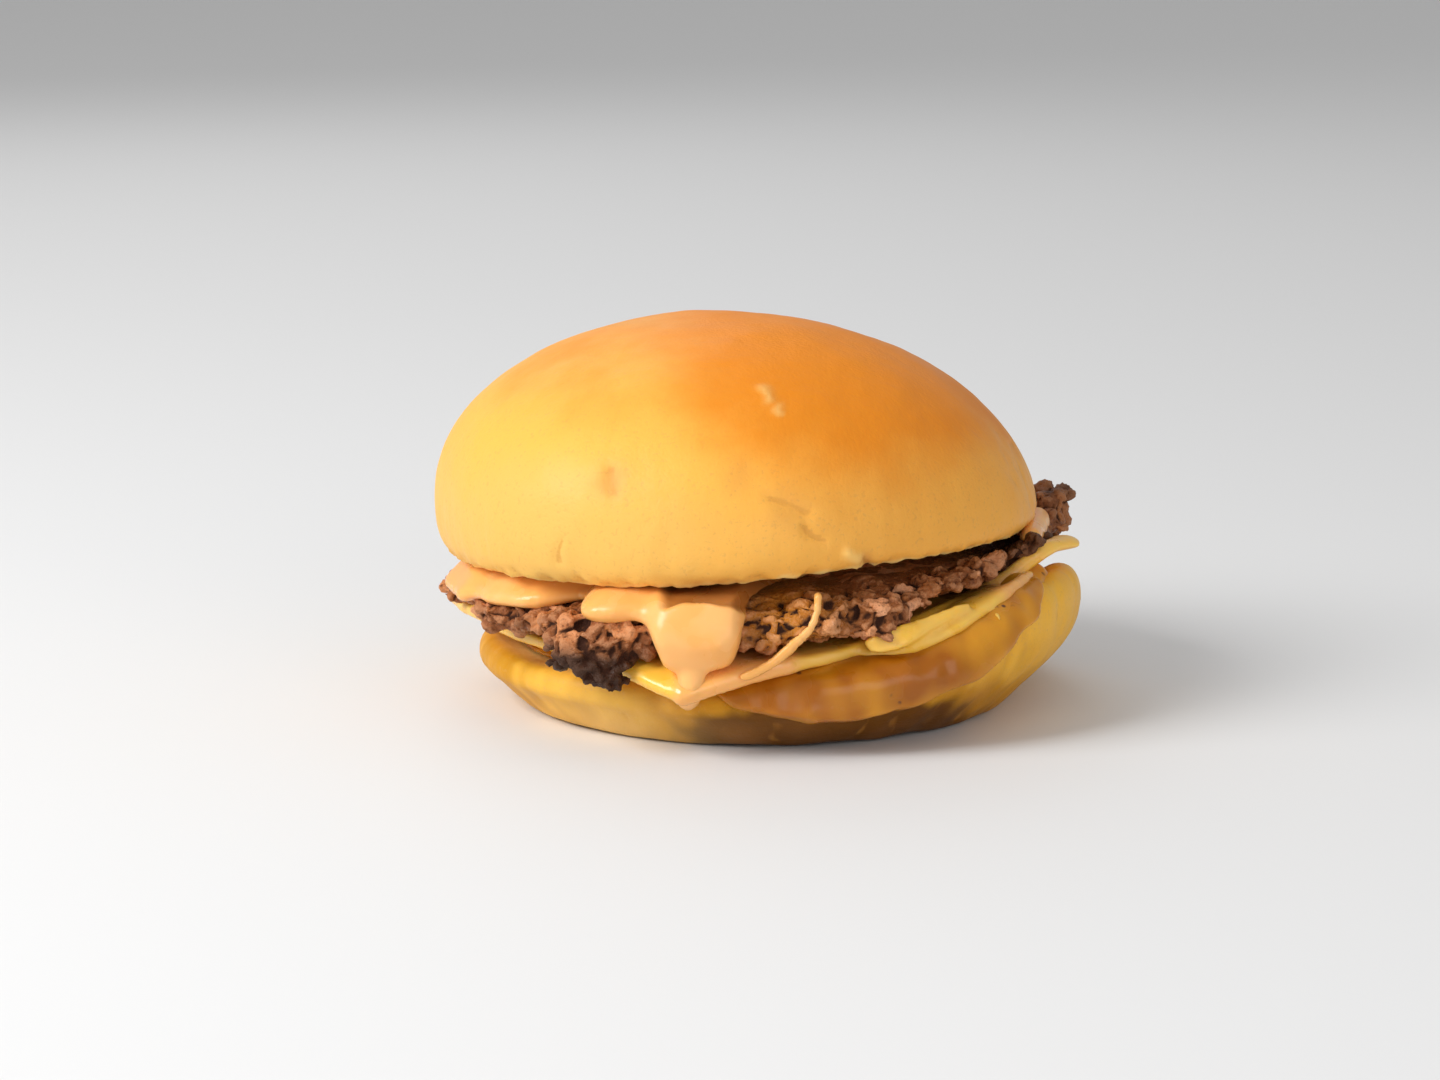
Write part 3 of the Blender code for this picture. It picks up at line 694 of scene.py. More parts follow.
CROWN_DENT_SHADE = (
    # X and seen height of a dent on the front of the crown, radius, strength of its painted shade
    (-20.9, 35.8, 2.4, 0.4),
    (-0.5, 35.8, 2.2, 0.2),
    (8.0, 31.5, 3.2, 0.2),
    (20.9, 21.8, 1.4, 0.6),
)
CROWN_CREASES = (
    # start and end on the front of the crown as X and seen height, width, depth
    ((-20.9, 37.4), (-20.4, 34.6), 1.5, 0.35),
    ((5.6, 33.2), (10.8, 30.2), 1.1, 0.4),
    ((10.8, 27.9), (13.4, 26.2), 0.7, 0.55),
    ((20.6, 23.0), (21.2, 20.8), 0.7, 0.9),
    ((47.2, 43.0), (50.6, 32.0), 0.8, 0.35),
    ((44.8, 44.5), (46.8, 36.0), 0.8, 0.2),
    ((-29.3, 26.5), (-29.6, 23.0), 0.6, 0.3),
)
CROWN_BLISTERS_AND_HIGHLIGHTS = (
    # start and end as X and seen height, width, height of the blister; the first two are also painted
    # highlights, the third a pale torn crumb
    ((4.2, 50.9), (5.0, 49.5), 0.75, 0.35),
    ((6.3, 48.0), (6.8, 47.0), 0.55, 0.25),
    ((17.9, 23.8), (19.8, 23.0), 0.8, 0.65),
)
# Size and reach of the unevenness that makes these marks wander
MARK_WANDER = (3.0, 0.9)

# Stretches of the heel's rim: middle angle and reach in degrees
HEEL_UNDER_SAUCE = (-68.0, 42.0)
# Front of the foot, darker as painted shade
HEEL_SHADED_FOOT = (-74.0, 33.0)
HEEL_PALE_FOOT = (-124.0, 17.0)
HEEL_BROWN_SIDE = (-160.0, 40.0)


def crease(points, start, end, width):
    """Bell along a short line across the front, given by X and seen height."""
    flat = np.column_stack((points[:, 0], seen_height(points)))
    begin, run = np.array(start), np.array(end) - np.array(start)
    share = np.clip(((flat - begin) @ run) / (run @ run), 0.0, 1.0)
    away = np.linalg.norm(flat - begin - share[:, None] * run, axis=1)
    return bell(away / width) * (points[:, 1] < 0.0)


def crown_face(points):
    """Height of the crown's cut face, which rises to the right and arches at the front right."""
    arch = bell((points[:, 0] - 21.0) / 24.0) * step_up(-points[:, 1], 8.0, 36.0)
    return 28.45 + 0.05 * points[:, 0] + 1.3 * arch


def crown_relief(points):
    """Soft swells all over, wrinkles low on the side, the dents of the front, a torn crumb edge."""
    angle, distance = around(points)
    low = 1.0 - step_up(points[:, 2], 30.0, 46.0)
    side = on_drum(angle, CROWN_RADIUS, points[:, 2] / 7.0)
    out = 0.35 * uneven(points, 15.0, 5.0) + 0.10 * uneven(points, 5.0, 9.0)
    out += 0.05 * uneven(points, 2.2, 7.0)
    out -= 0.22 * low * np.maximum(uneven(side, 2.6, 3.0), 0.0)
    bent = bend(points, *MARK_WANDER)
    for start, end, width, depth in CROWN_CREASES:
        out -= depth * crease(bent, start, end, width)
    for start, end, width, rise in CROWN_BLISTERS_AND_HIGHLIGHTS:
        out += rise * crease(bent, start, end, width)
    edge = bell((points[:, 2] - crown_face(points) - 0.5) / 1.3) * step_up(distance, *CROWN_RIM)
    out += edge * (0.55 * uneven(points, 2.2, 21.0) + 0.30 * uneven(points, 1.0, 23.0) - 0.1)
    return out


def store_crown_finish(piece):
    """Store how baked the crown is, with painted shade on its right side; painted shade in its dents and
    low on the right; its torn crumb; and painted highlights on two blisters.
    """
    points = points_of(piece)
    bent = bend(points, *MARK_WANDER)
    high = step_up((points[:, 2] - CROWN_FOOT) / (CROWN_TOP - CROWN_FOOT), 0.15, 0.95)
    right = step_up(points[:, 0], -25.0, 25.0)
    shaded_low_right = right * (1.0 - high)
    # Browner with height; darker on the right, partly baked more and partly painted shade
    bake_and_shade = 0.10 + 0.62 * high + 0.46 * high * right + 0.36 * shaded_low_right
    store(piece, "bake_and_shade", bake_and_shade + 0.07 * uneven(points, 22.0, 31.0))
    # Painted shade in the dents and low on the right
    blush_and_shade = sum(
        strength * crease(bent, (x, height - 0.5), (x, height + 0.5), radius)
        for x, height, radius, strength in CROWN_DENT_SHADE
    )
    store(piece, "blush_and_shade", np.clip(blush_and_shade + 0.22 * shaded_low_right, 0.0, 1.0))
    ragged = crown_face(points) + 0.5 + 0.8 * uneven(points, 3.0, 27.0)
    crumb_and_highlight = 1.0 - step_up(points[:, 2], ragged - 0.4, ragged + 0.4)
    # Painted highlights on the first two blisters, pale crumb on the torn third
    for start, end, width, rise in CROWN_BLISTERS_AND_HIGHLIGHTS:
        crumb_and_highlight = np.maximum(crumb_and_highlight, 0.55 * crease(bent, start, end, width))
    store(piece, "crumb_and_highlight", crumb_and_highlight)
    store_cavity(piece, 6, 0.12)


class BURGER_OT_crown(bpy.types.Operator):
    """Finish the upper half of the bun."""

    bl_idname = "burger.crown"
    bl_label = "Crown of the bun"

    def execute(self, context):
        settings = context.scene.burger_bun
        piece = copy_of_node("bun_top", "crown_crust")
        refine(piece, settings.mesh_step, 2, 14)
        swell(piece, crown_relief(points_of(piece)))
        store_crown_finish(piece)
        material = crust_material("crust_gold", settings.pale, settings.gold, settings.amber)
        hand_over(piece, material, "bun_top")
        return {"FINISHED"}


def heel_relief(points):
    """Soft swells and pressed wrinkles, strongest at the right, a full bare rim and a flat base."""
    angle, distance = around(points, HEEL_X)
    side = on_drum(angle, HEEL_RADIUS, points[:, 2] / 2.0)
    right = 0.5 + 0.5 * np.cos(np.radians(angle))
    out = 0.30 * uneven(points, 12.0, 41.0) + 0.08 * uneven(points, 3.5, 43.0)
    out -= (0.15 + 0.55 * right) * np.maximum(uneven(side, 4.5, 45.0), 0.0)
    out -= (0.12 + 0.30 * right) * np.maximum(uneven(bend(side, 5.0, 2.0), 2.2, 46.0), 0.0)
    bare = 1.0 - facing(angle, HEEL_UNDER_SAUCE)
    out += 1.1 * bare * step_up(distance, *HEEL_RIM) * step_up(points[:, 2], 3.0, 12.0)
    return out * step_up(points[:, 2], 0.1, 1.5) * step_up(distance, 30.0, 42.0)


def store_heel_finish(piece):
    """Store where the heel is baked, with painted shade at the front of its foot, where it is blushed and
    where it is open to the crumb.
    """
    points = points_of(piece)
    angle, distance = around(points, HEEL_X)
    low = 1.0 - step_up(points[:, 2], 1.0, 13.0)
    # Browner low all round, and much darker at the front of the foot as painted shade
    bake_and_shade = 0.02 + (0.2 + 1.8 * facing(angle, HEEL_SHADED_FOOT)) * low + 0.25 * uneven(points, 12.0, 47.0)
    bake_and_shade += 0.3 * facing(angle, HEEL_BROWN_SIDE) * (1.0 - low)
    store(piece, "bake_and_shade", bake_and_shade + 0.22 * uneven(drawn_out(points, 0.25), 3.0, 48.0))
    store(piece, "blush_and_shade", np.clip(0.4 * uneven(points, 9.0, 49.0), 0.0, 0.3))
    pale = 0.6 * facing(angle, HEEL_PALE_FOOT) * low
    seat = (1.0 - step_up(distance, *HEEL_RIM)) * step_up(points[:, 2], 8.0, 9.0)
    store(piece, "crumb_and_highlight", np.maximum(pale, seat))
    store_cavity(piece, 6, 0.15)


class BURGER_OT_heel(bpy.types.Operator):
    """Finish the lower half of the bun."""

    bl_idname = "burger.heel"
    bl_label = "Heel of the bun"

    def execute(self, context):
        settings = context.scene.burger_bun
        piece = copy_of_node("bun_bottom", "heel_crust")
        refine(piece, settings.mesh_step, 2, 8)
        swell(piece, heel_relief(points_of(piece)))
        points = points_of(piece)
        points[:, 2] = np.maximum(points[:, 2], 0.0)
        write_points(piece, points)
        store_heel_finish(piece)
        material = crust_material("heel_gold", settings.heel_side, HEEL_BROWN, HEEL_DARK_BASE_AND_SHADE)
        hand_over(piece, material, "bun_bottom")
        return {"FINISHED"}


# Patty

# Crisp flap that hangs down the heel at the front left: X, seen height, Y, radius
FLAP_ROUTES = (
    (
        (-30.5, 9.5, -43.5, 1.8), (-27.0, 6.6, -46.8, 2.0), (-23.0, 4.2, -49.4, 1.8),
        (-19.8, 2.6, -51.0, 1.3),
    ),
    ((-26.5, 9.5, -46.0, 1.8), (-22.5, 7.2, -48.4, 1.9), (-19.0, 5.6, -50.0, 1.3)),
)
# Stretches of the patty's edge: middle angle and reach in degrees
FLAP = (-121.0, 14.0)
CHUNK = (21.0, 13.0)
RIGHT_END = (-15.0, 16.0)
FRONT_BULGE = (-64.0, 12.0)
PINK_LEFT = (-150.0, 26.0)
# Front right: partly pinker meat, partly painted light
PINK_LIT_FRONT = (-60.0, 20.0)
GLAZED_FRONT = (-84.0, 9.0)
GLAZED_LEFT = (-122.0, 5.0)
# Sizes of the large and the small grains of meat
LARGE_GRAIN = 3.8
SMALL_GRAIN = 1.7
# Size of the faces that the lumps are scattered on, and distance from the axis where they start
PATTY_FIRST_STEP = 1.0 * MM
LUMPS_FROM = 44.0 * MM
LUMPS_SEED = 7


def crumb_tree(material):
    """Geometry nodes: lumps of ground meat scattered over the edge of the patty."""
    tree = bpy.data.node_groups.new("meat_crumbs", "GeometryNodeTree")
    sockets = tree.interface
    sockets.new_socket("Geometry", in_out="INPUT", socket_type="NodeSocketGeometry")
    for label in ("Crumb Radius", "Crumb Gap", "Inner Radius"):
        sockets.new_socket(label, in_out="INPUT", socket_type="NodeSocketFloat")
    sockets.new_socket("Seed", in_out="INPUT", socket_type="NodeSocketInt")
    sockets.new_socket("Geometry", in_out="OUTPUT", socket_type="NodeSocketGeometry")
    start = tree.nodes.new("NodeGroupInput").outputs
    end = tree.nodes.new("NodeGroupOutput")
    place = add(tree, "GeometryNodeInputPosition").outputs[0]
    level = add(tree, "ShaderNodeVectorMath", {0: place, 1: (1.0, 1.0, 0.0)}, operation="MULTIPLY")
    away = add(tree, "ShaderNodeVectorMath", {0: level.outputs[0]}, operation="LENGTH").outputs["Value"]
    inputs = {0: away, 1: start["Inner Radius"]}
    outside = add(tree, "FunctionNodeCompare", inputs, operation="GREATER_THAN").outputs[0]
    density = calculate(tree, "POWER", start["Crumb Gap"], -2.0)
    inputs = {"Mesh": start["Geometry"], "Selection": outside, "Density": density, "Seed": start["Seed"]}
    scatter = add(tree, "GeometryNodeDistributePointsOnFaces", inputs).outputs["Points"]
    lump = add(tree, "GeometryNodeMeshIcoSphere", {"Radius": 1.0, "Subdivisions": 2}).outputs["Mesh"]
    shape = {"Min": (0.8, 0.6, 0.5), "Max": (1.9, 1.1, 0.9), "Seed": start["Seed"]}
    stretch = add(tree, "FunctionNodeRandomValue", shape, data_type="FLOAT_VECTOR").outputs[0]
    inputs = {0: stretch, "Scale": start["Crumb Radius"]}
    size = add(tree, "ShaderNodeVectorMath", inputs, operation="SCALE").outputs[0]
    turns = {"Min": (-0.5, -0.5, 0.0), "Max": (0.5, 0.5, math.tau), "Seed": start["Seed"]}
    turn = add(tree, "FunctionNodeRandomValue", turns, data_type="FLOAT_VECTOR").outputs[0]
    inputs = {"Points": scatter, "Instance": lump, "Rotation": turn, "Scale": size}
    lumps = add(tree, "GeometryNodeInstanceOnPoints", inputs).outputs["Instances"]
    joined = add(tree, "GeometryNodeJoinGeometry")
    tree.links.new(lumps, joined.inputs[0])
    tree.links.new(start["Geometry"], joined.inputs[0])
    real = add(tree, "GeometryNodeRealizeInstances", {"Geometry": joined.outputs[0]}).outputs[0]
    done = add(tree, "GeometryNodeSetMaterial", {"Geometry": real, "Material": material}).outputs[0]
    tree.links.new(done, end.inputs[0])
    return tree


def run_tree(piece, tree, **values):
    """Put a geometry node tree on a piece, set its named inputs, and keep the result as mesh."""
    maker = piece.modifiers.new(tree.name, "NODES")
    maker.node_group = tree
    wanted = {key.replace("_", " ").title(): value for key, value in values.items()}
    for item in tree.interface.items_tree:
        if item.item_type == "SOCKET" and item.in_out == "INPUT" and item.name in wanted:
            maker[item.identifier] = wanted[item.name]
    settle(piece)


def patty_bulge(points):
    """The edge drawn in a little all round, to make room for the lumps, and pushed out at the front."""
    angle, distance = around(points, PATTY_X)
    bulge = 2.0 * facing(angle, FRONT_BULGE) * step_up(points[:, 2], 18.5, 21.5)
    return (bulge - 0.6) * step_up(distance, 40.0, 46.0)


def meat_relief(points, gap, small_gap):
    """Grains with sharp creases between them and rough skin, only where the edge shows."""
    out = 0.50 * uneven(points, 3.5, 50.0) + 0.34 * uneven(points, 1.4, 51.0)
    out += 0.20 * uneven(points, 0.8, 52.0)
    out -= 0.65 * bell(gap / 0.18) + 0.22 * bell(small_gap / 0.16)
    return (out + 0.15) * step_up(around(points, PATTY_X)[1], 38.0, 44.0)


def store_meat_finish(piece):
    """Store where the meat is scorched, pinkish, lighter as painted light at the front right, and glazed
    with sauce.
    """
    points = points_of(piece)
    angle, distance = around(points, PATTY_X)
    scorch = 1.25 * facing(angle, FLAP) * (1.0 - step_up(points[:, 2], 15.0, 20.0))
    scorch += 0.5 * facing(angle, CHUNK) * step_up(distance, 51.0, 54.0)
    scorch += 0.9 * facing(angle, RIGHT_END)
    scorch += 0.8 * np.clip(0.9 * uneven(points, 7.0, 55.0) - 0.1, 0.0, 0.6)
    store(piece, "scorch", np.clip(scorch, 0.0, 0.95))
    # Pinker at the front right, partly painted light
    pink = 0.25 + 0.3 * facing(angle, PINK_LEFT) + 1.1 * facing(angle, PINK_LIT_FRONT)
    store(piece, "pink", np.clip(pink, 0.0, 1.0))
    wet = facing(angle, GLAZED_FRONT) * step_up(points[:, 2], 17.0, 21.0)
    wet += 0.8 * facing(angle, GLAZED_LEFT) * step_up(points[:, 2], 22.0, 25.0)
    store(piece, "glaze", np.clip(0.8 * wet, 0.0, 0.8))
    store_cavity(piece, 8, 0.45)


class BURGER_OT_patty(bpy.types.Operator):
    """Finish the patty."""

    bl_idname = "burger.patty"
    bl_label = "Patty"

    def execute(self, context):
        settings = context.scene.burger_meat
        material = meat_material(settings)
        piece = copy_of_node("patty", "patty_meat")
        for route in FLAP_ROUTES:
            add_rope(piece, hung(route))
        refine(piece, PATTY_FIRST_STEP, 0, 2)
        swell(piece, patty_bulge(points_of(piece)))
        run_tree(
            piece, crumb_tree(material), crumb_radius=settings.crumb_radius,
            crumb_gap=settings.crumb_gap, inner_radius=LUMPS_FROM, seed=LUMPS_SEED,
        )
        refine(piece, settings.mesh_step, 0, 3)
        points = points_of(piece)
        bent = bend(points, 2.5, 1.0)
        gap, tone = cells(bent, LARGE_GRAIN)
        store(piece, "lump", tone)
        swell(piece, meat_relief(points, gap, cells(bent, SMALL_GRAIN)[0]))
        store_meat_finish(piece)
        hand_over(piece, material, "patty")
        return {"FINISHED"}


# Cheese

# Where the slice lies over the rim at the front right: X, seen height, distance out of the heel
DRAPE_TOP = (
    (14.0, 8.6, 2.0), (18.0, 10.0, 2.2), (24.0, 11.4, 2.2), (31.0, 13.6, 2.4), (38.0, 16.6, 2.4),
    (41.5, 18.2, 2.0), (45.0, 19.8, 2.0), (50.5, 23.0, 1.8),
)
DRAPE_HEM = (
    (14.2, 6.4, 1.4), (18.5, 5.6, 1.4), (25.0, 5.0, 1.4), (32.0, 7.2, 1.4), (39.0, 11.2, 1.2),
    (42.5, 14.2, 0.4), (46.0, 16.6, 0.8), (51.5, 21.0, 0.8),
)
DRAPE_THICKNESS = 2.2
# The fold that is pressed out on top of it: X, seen height, Y
FOLD_TOP = (
    (19.8, 9.2, -46.6), (22.2, 11.6, -47.6), (25.6, 12.0, -46.6), (29.0, 12.8, -44.2),
    (34.0, 14.8, -41.0), (39.0, 16.2, -37.4),
)
FOLD_HEM = (
    (20.8, 8.0, -47.0), (23.6, 7.4, -48.6), (27.4, 8.2, -48.4), (30.0, 10.6, -45.6),
    (34.2, 12.8, -42.8), (39.2, 15.0, -38.4),
)
FOLD_THICKNESS = 1.6
# Where the right corner starts to thin, and where it is thinnest, along X
CORNER_THINS = (51.0, 58.0)
# Sauced patches: X and Y of the middle, and the distances where one starts to fade and is gone
SAUCED_CORNER = ((-3.0, -52.0), (11.5, 15.0))
SAUCED_SMEAR = ((48.0, -27.0), (5.0, 10.0))


def sauced_patch(points, wander, middle, fade):
    """1 round a place in plan, falling to 0 over a range of distances."""
    away = np.hypot(points[:, 0] - middle[0], points[:, 1] - middle[1])
    return 1.0 - step_up(away + wander, *fade)


def sauced_share(points):
    """Where sauce coats the slice: its front corner, cut off at the left, and a smear at the right."""
    wander = 2.0 * uneven(points, 4.0, 65.0)
    corner = sauced_patch(points, wander, *SAUCED_CORNER)
    corner *= step_up(points[:, 0] + 0.4 * wander, -11.5, -9.5)
    return np.clip(corner + sauced_patch(points, wander, *SAUCED_SMEAR), 0.0, 1.0)


class BURGER_OT_cheese(bpy.types.Operator):
    """Finish the slice of cheese."""

    bl_idname = "burger.cheese"
    bl_label = "Cheese"

    def execute(self, context):
        settings = context.scene.burger_dairy
        piece = copy_of_node("cheese", "cheese_slice")
        heel = surface_of("bun_bottom", "sauce_lower")
        over_rim = rows_between(DRAPE_TOP, DRAPE_HEM, lambda *entry: seen_point(heel, *entry))
        add_sheet(piece, over_rim, DRAPE_THICKNESS)
        add_sheet(piece, rows_between(FOLD_TOP, FOLD_HEM, in_air), FOLD_THICKNESS)
        refine(piece, settings.mesh_step, 1, 6)
        points = points_of(piece)
        thinned = 0.9 * step_up(points[:, 0], *CORNER_THINS)
        write_points(piece, points + (blurred(piece, 60) - points) * thinned[:, None])
        points = points_of(piece)
        swell(piece, 0.22 * uneven(points, 7.0, 61.0) + 0.08 * uneven(points, 2.6, 63.0))
        sauced = sauced_share(points_of(piece))
        store(piece, "sauced", sauced)
        swell(piece, 0.4 * sauced)
        hand_over(piece, cheese_material(settings), "cheese")
        return {"FINISHED"}


# Sauces

# Thick sauce as ropes over what lies behind it: X, seen height, distance out of it, radius
DRIP_ROUTES = (
    # Belly of the large drip
    ((-12.2, 9.0, 1.2, 3.2), (-7.0, 8.6, 1.4, 4.0), (-1.6, 9.4, 1.2, 3.2)),
    ((-13.0, 14.0, 1.4, 2.2), (-7.0, 14.5, 2.0, 3.4), (-0.8, 14.4, 1.4, 2.4)),
    ((-9.6, 6.6, 1.0, 2.2), (-6.0, 6.3, 1.2, 2.4), (-2.2, 6.8, 1.0, 2.2)),
    # Its tail down to the slice's corner
    ((-7.4, 4.0, -0.4, 2.6), (-8.0, 1.4, -0.9, 2.0), (-8.9, -0.6, -1.2, 1.5)),
    # Bead at the right
    ((50.3, 26.8, 0.8, 1.7), (52.0, 28.2, 1.0, 2.6), (53.0, 29.8, 0.4, 2.0)),
)
# Thin strand at the right of the large drip: X, seen height, Y, radius
STRAND = (
    (13.0, 18.2, -49.2, 0.45), (12.7, 15.2, -50.3, 0.5), (12.3, 13.2, -51.1, 0.55),
    (11.3, 11.4, -51.7, 0.55), (9.4, 9.8, -52.2, 0.55), (7.4, 7.8, -52.8, 0.6),
    (5.4, 6.2, -53.0, 0.6), (3.0, 4.9, -53.2, 0.55), (0.5, 3.9, -53.2, 0.45),
)
# Lowest place of the thin sauce's hem: angle in degrees and height
APRON_LOWEST_AT = -72.0
APRON_LOW = 5.6
# Front of the thin sauce, where its edge is fullest: middle angle and reach in degrees
APRON_FRONT = (-70.0, 30.0)
# Distances from the axis between which its side begins
APRON_SIDE = (44.0, 47.0)
# Size of the faces while the thick sauce melts together, and on the thin sauce
MELT_STEP = 0.75 * MM
APRON_STEP = 0.45 * MM
# Share of their height at which points are taken for its runs
APRON_DRAW = 0.4


def shaded_thin_share(points):
    """Where the thick sauce thins out on the meat under the crown, above a ragged line, and takes a darker
    colour there as painted shade.
    """
    line = np.where(points[:, 0] < 7.0, 16.0 - 0.025 * (points[:, 0] + 6.0) ** 2, 17.6)
    line += 0.8 * uneven(points, 4.0, 72.0)
    share = step_up(seen_height(points) - line, -0.5, 0.9) * step_up(points[:, 0], -13.5, -11.0)
    return share * (points[:, 1] < -30.0) * (1.0 - step_up(points[:, 0], 24.0, 30.0))


def finish_drips(settings):
    """The thick sauce, with its large drip, its strand and its bead."""
    piece = copy_of_node("sauce_upper", "sauce_drips")
    stack = surface_of("bun_bottom", "sauce_lower", "cheese", "patty")
    for route in DRIP_ROUTES:
        add_rope(piece, laid(stack, route))
    refine(piece, MELT_STEP, 0, 12)
    add_rope(piece, hung(STRAND))
    refine(piece, settings.mesh_step, 0, 6)
    points = points_of(piece)
    thinned = shaded_thin_share(points)
    # Painted shade: the thinned sauce under the crown takes the dark glaze colour
    store(piece, "thin_and_shade", 0.85 * thinned)
    swell(piece, 0.35 + 0.25 * uneven(points, 6.0, 71.0) - 1.1 * thinned)
    material = sauce_material("peach_sauce", 0.24, settings.peach, PEACH_PALE, settings.glaze)
    hand_over(piece, material, "sauce_upper")


def over_hem(points):
    """Height of points over the hem of the sauce on the heel, which is lowest at the front."""
    away = turned_from(around(points, HEEL_X)[0], APRON_LOWEST_AT)
    left = 0.013 * np.abs(away) ** 1.45 + 0.02 * np.maximum(-16.0 - away, 0.0) ** 2
    climb = np.where(away > 0.0, 0.06 * np.abs(away) ** 1.5, left)
    return points[:, 2] - APRON_LOW - climb - 0.9 * uneven(points, 5.0, 77.0)


def shaped_apron(points, normals):
    """Points of the thin sauce: out in runs and a full edge, and into the heel below the hem."""
    angle, distance = around(points, HEEL_X)
    side = step_up(distance, *APRON_SIDE)
    runs = uneven(drawn_out(points, APRON_DRAW), 2.8, 74.0)
    rise = 0.15 + 0.18 * uneven(points, 5.0, 73.0) + 0.30 * side * runs
    rise += (0.6 + 0.9 * facing(angle, APRON_FRONT)) * side * step_up(points[:, 2], 9.0, 13.0)
    sink = 4.2 * side * (1.0 - step_up(over_hem(points), -1.2, 1.2))
    inwards = np.array((HEEL_X, 0.0, 0.0)) - points * (1.0, 1.0, 0.0)
    inwards /= np.maximum(np.linalg.norm(inwards, axis=1), 1.0)[:, None]
    return points + normals * rise[:, None] + inwards * sink[:, None]


def apron_thinness_and_shade(points):
    """How thin the sauce on the heel is along its hem and in runs, and how much lighter towards the upper
    right, partly thinner there and partly painted light.
    """
    # Lighter towards the upper right: partly thinner sauce, partly painted light, with painted shade low at
    # the front
    thin_and_shade = 0.6 * step_up(points[:, 0] + 0.9 * points[:, 2], 34.0, 70.0) + 0.05
    thin_and_shade += 0.7 * uneven(drawn_out(points, APRON_DRAW), 4.0, 75.0) + 0.6 * uneven(points, 9.0, 76.0)
    thin_and_shade += 0.35 * (1.0 - step_up(over_hem(points), 0.0, 3.0))
    return np.clip(thin_and_shade, 0.0, 1.0)


def finish_apron(settings):
    """The thin sauce, which runs down the front of the heel."""
    piece = copy_of_node("sauce_lower", "sauce_apron")
    refine(piece, APRON_STEP, 2, 6)
    write_points(piece, shaped_apron(points_of(piece), normals_of(piece)))
    store(piece, "thin_and_shade", apron_thinness_and_shade(points_of(piece)))
    material = sauce_material(
        "orange_sauce", 0.22, settings.orange, ORANGE_PALE, ORANGE_THIN_AND_LIT, settings.speck
    )
    hand_over(piece, material, "sauce_lower")


class BURGER_OT_sauces(bpy.types.Operator):
    """Finish the thick sauce on the patty and the thin sauce on the heel."""

    bl_idname = "burger.sauces"
    bl_label = "Sauces"

    def execute(self, context):
        finish_drips(context.scene.burger_dairy)
        finish_apron(context.scene.burger_dairy)
        return {"FINISHED"}


# Stage

class BURGER_OT_stage(bpy.types.Operator):
    """Make the floor, the lights and the camera."""

    bl_idname = "burger.stage"
    bl_label = "Stage"

    def execute(self, context):
        settings = context.scene.burger_stage
        make_floor(settings)
        make_light("key", KEY_LIGHT, settings.key_power)
        make_light("fill", FILL_LIGHT, settings.fill_power)
        make_light("back", BACK_LIGHT, BACK_SHARE * settings.key_power)
        make_sky(context.scene, settings.sky)
        context.scene.view_settings.view_transform = "Standard"
        make_camera(context.scene)
        return {"FINISHED"}


def make_floor(settings):
    """Plain pale floor."""
    form = bmesh.new()
    bmesh.ops.create_grid(form, x_segments=1, y_segments=1, size=3.0)
    mesh = bpy.data.meshes.new("floor")
    form.to_mesh(mesh)
    form.free()
    floor = new_piece("floor", mesh)
    material, tree, shader = new_material("floor_pale", Roughness=0.7)
    shader.inputs["Base Color"].default_value = (*settings.floor, 1.0)
    floor.data.materials.append(material)


def make_light(name, lamp, power):
    """Square area light that looks at the food."""
    place, size = lamp
    data = bpy.data.lights.new(name, "AREA")
    data.size = size
    data.energy = power
    light = new_piece(name, data)
    light.location = place
    light.rotation_euler = (LIGHT_AIM - light.location).to_track_quat("-Z", "Y").to_euler()


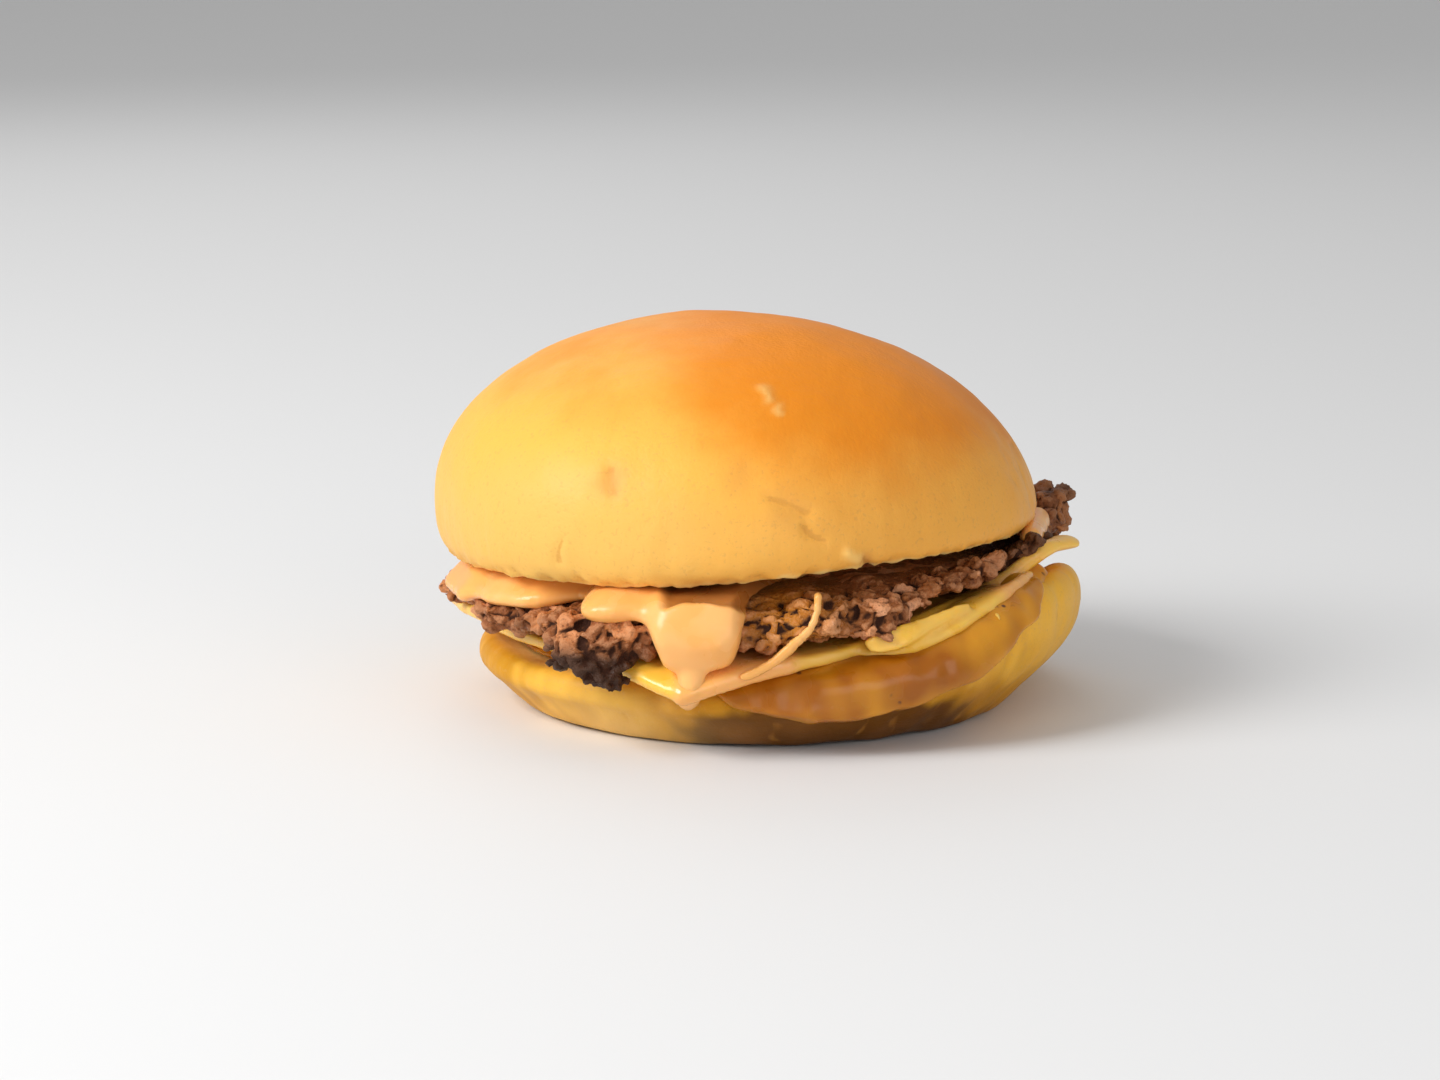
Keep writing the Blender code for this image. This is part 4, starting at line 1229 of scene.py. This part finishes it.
def make_sky(scene, strength):
    """Even white light all round."""
    scene.world = bpy.data.worlds.new("soft_sky")
    scene.world.use_nodes = True
    sky = scene.world.node_tree.nodes["Background"]
    sky.inputs["Color"].default_value = (1.0, 1.0, 1.0, 1.0)
    sky.inputs["Strength"].default_value = strength


def make_camera(scene):
    """Camera at the angle of the photograph."""
    data = bpy.data.cameras.new("camera")
    data.lens = CAMERA_LENS
    camera = new_piece("camera", data)
    back = Vector((0.0, -math.cos(CAMERA_LIFT), math.sin(CAMERA_LIFT)))
    camera.location = Vector(CAMERA_AIM) + back * CAMERA_DISTANCE
    camera.rotation_euler = (-back).to_track_quat("-Z", "Y").to_euler()
    scene.camera = camera


class BURGER_PT_panel(bpy.types.Panel):
    """Lists the pieces and their settings."""

    bl_idname = "BURGER_PT_panel"
    bl_label = "Cheeseburger"
    bl_space_type = "VIEW_3D"
    bl_region_type = "UI"
    bl_category = "Cheeseburger"

    def draw(self, context):
        for operator in OPERATORS:
            self.layout.operator(operator.bl_idname)
        for name, group in SETTINGS.items():
            box = self.layout.box()
            for key in group.__annotations__:
                box.prop(getattr(context.scene, name), key)


OPERATORS = (
    BURGER_OT_heel,
    BURGER_OT_cheese,
    BURGER_OT_patty,
    BURGER_OT_sauces,
    BURGER_OT_crown,
    BURGER_OT_stage,
)
SETTINGS = {
    "burger_bun": BunSettings,
    "burger_meat": MeatSettings,
    "burger_dairy": DairySettings,
    "burger_stage": StageSettings,
}


def register():
    for group in SETTINGS.values():
        bpy.utils.register_class(group)
    for name, group in SETTINGS.items():
        setattr(bpy.types.Scene, name, bpy.props.PointerProperty(type=group))
    for operator in OPERATORS:
        bpy.utils.register_class(operator)
    bpy.utils.register_class(BURGER_PT_panel)


def unregister():
    bpy.utils.unregister_class(BURGER_PT_panel)
    for operator in reversed(OPERATORS):
        bpy.utils.unregister_class(operator)
    for name, group in SETTINGS.items():
        delattr(bpy.types.Scene, name)
        bpy.utils.unregister_class(group)


def main():
    register()
    bpy.ops.burger.heel()
    bpy.ops.burger.cheese()
    bpy.ops.burger.patty()
    bpy.ops.burger.sauces()
    bpy.ops.burger.crown()
    bpy.ops.burger.stage()


if __name__ == "__main__":
    main()
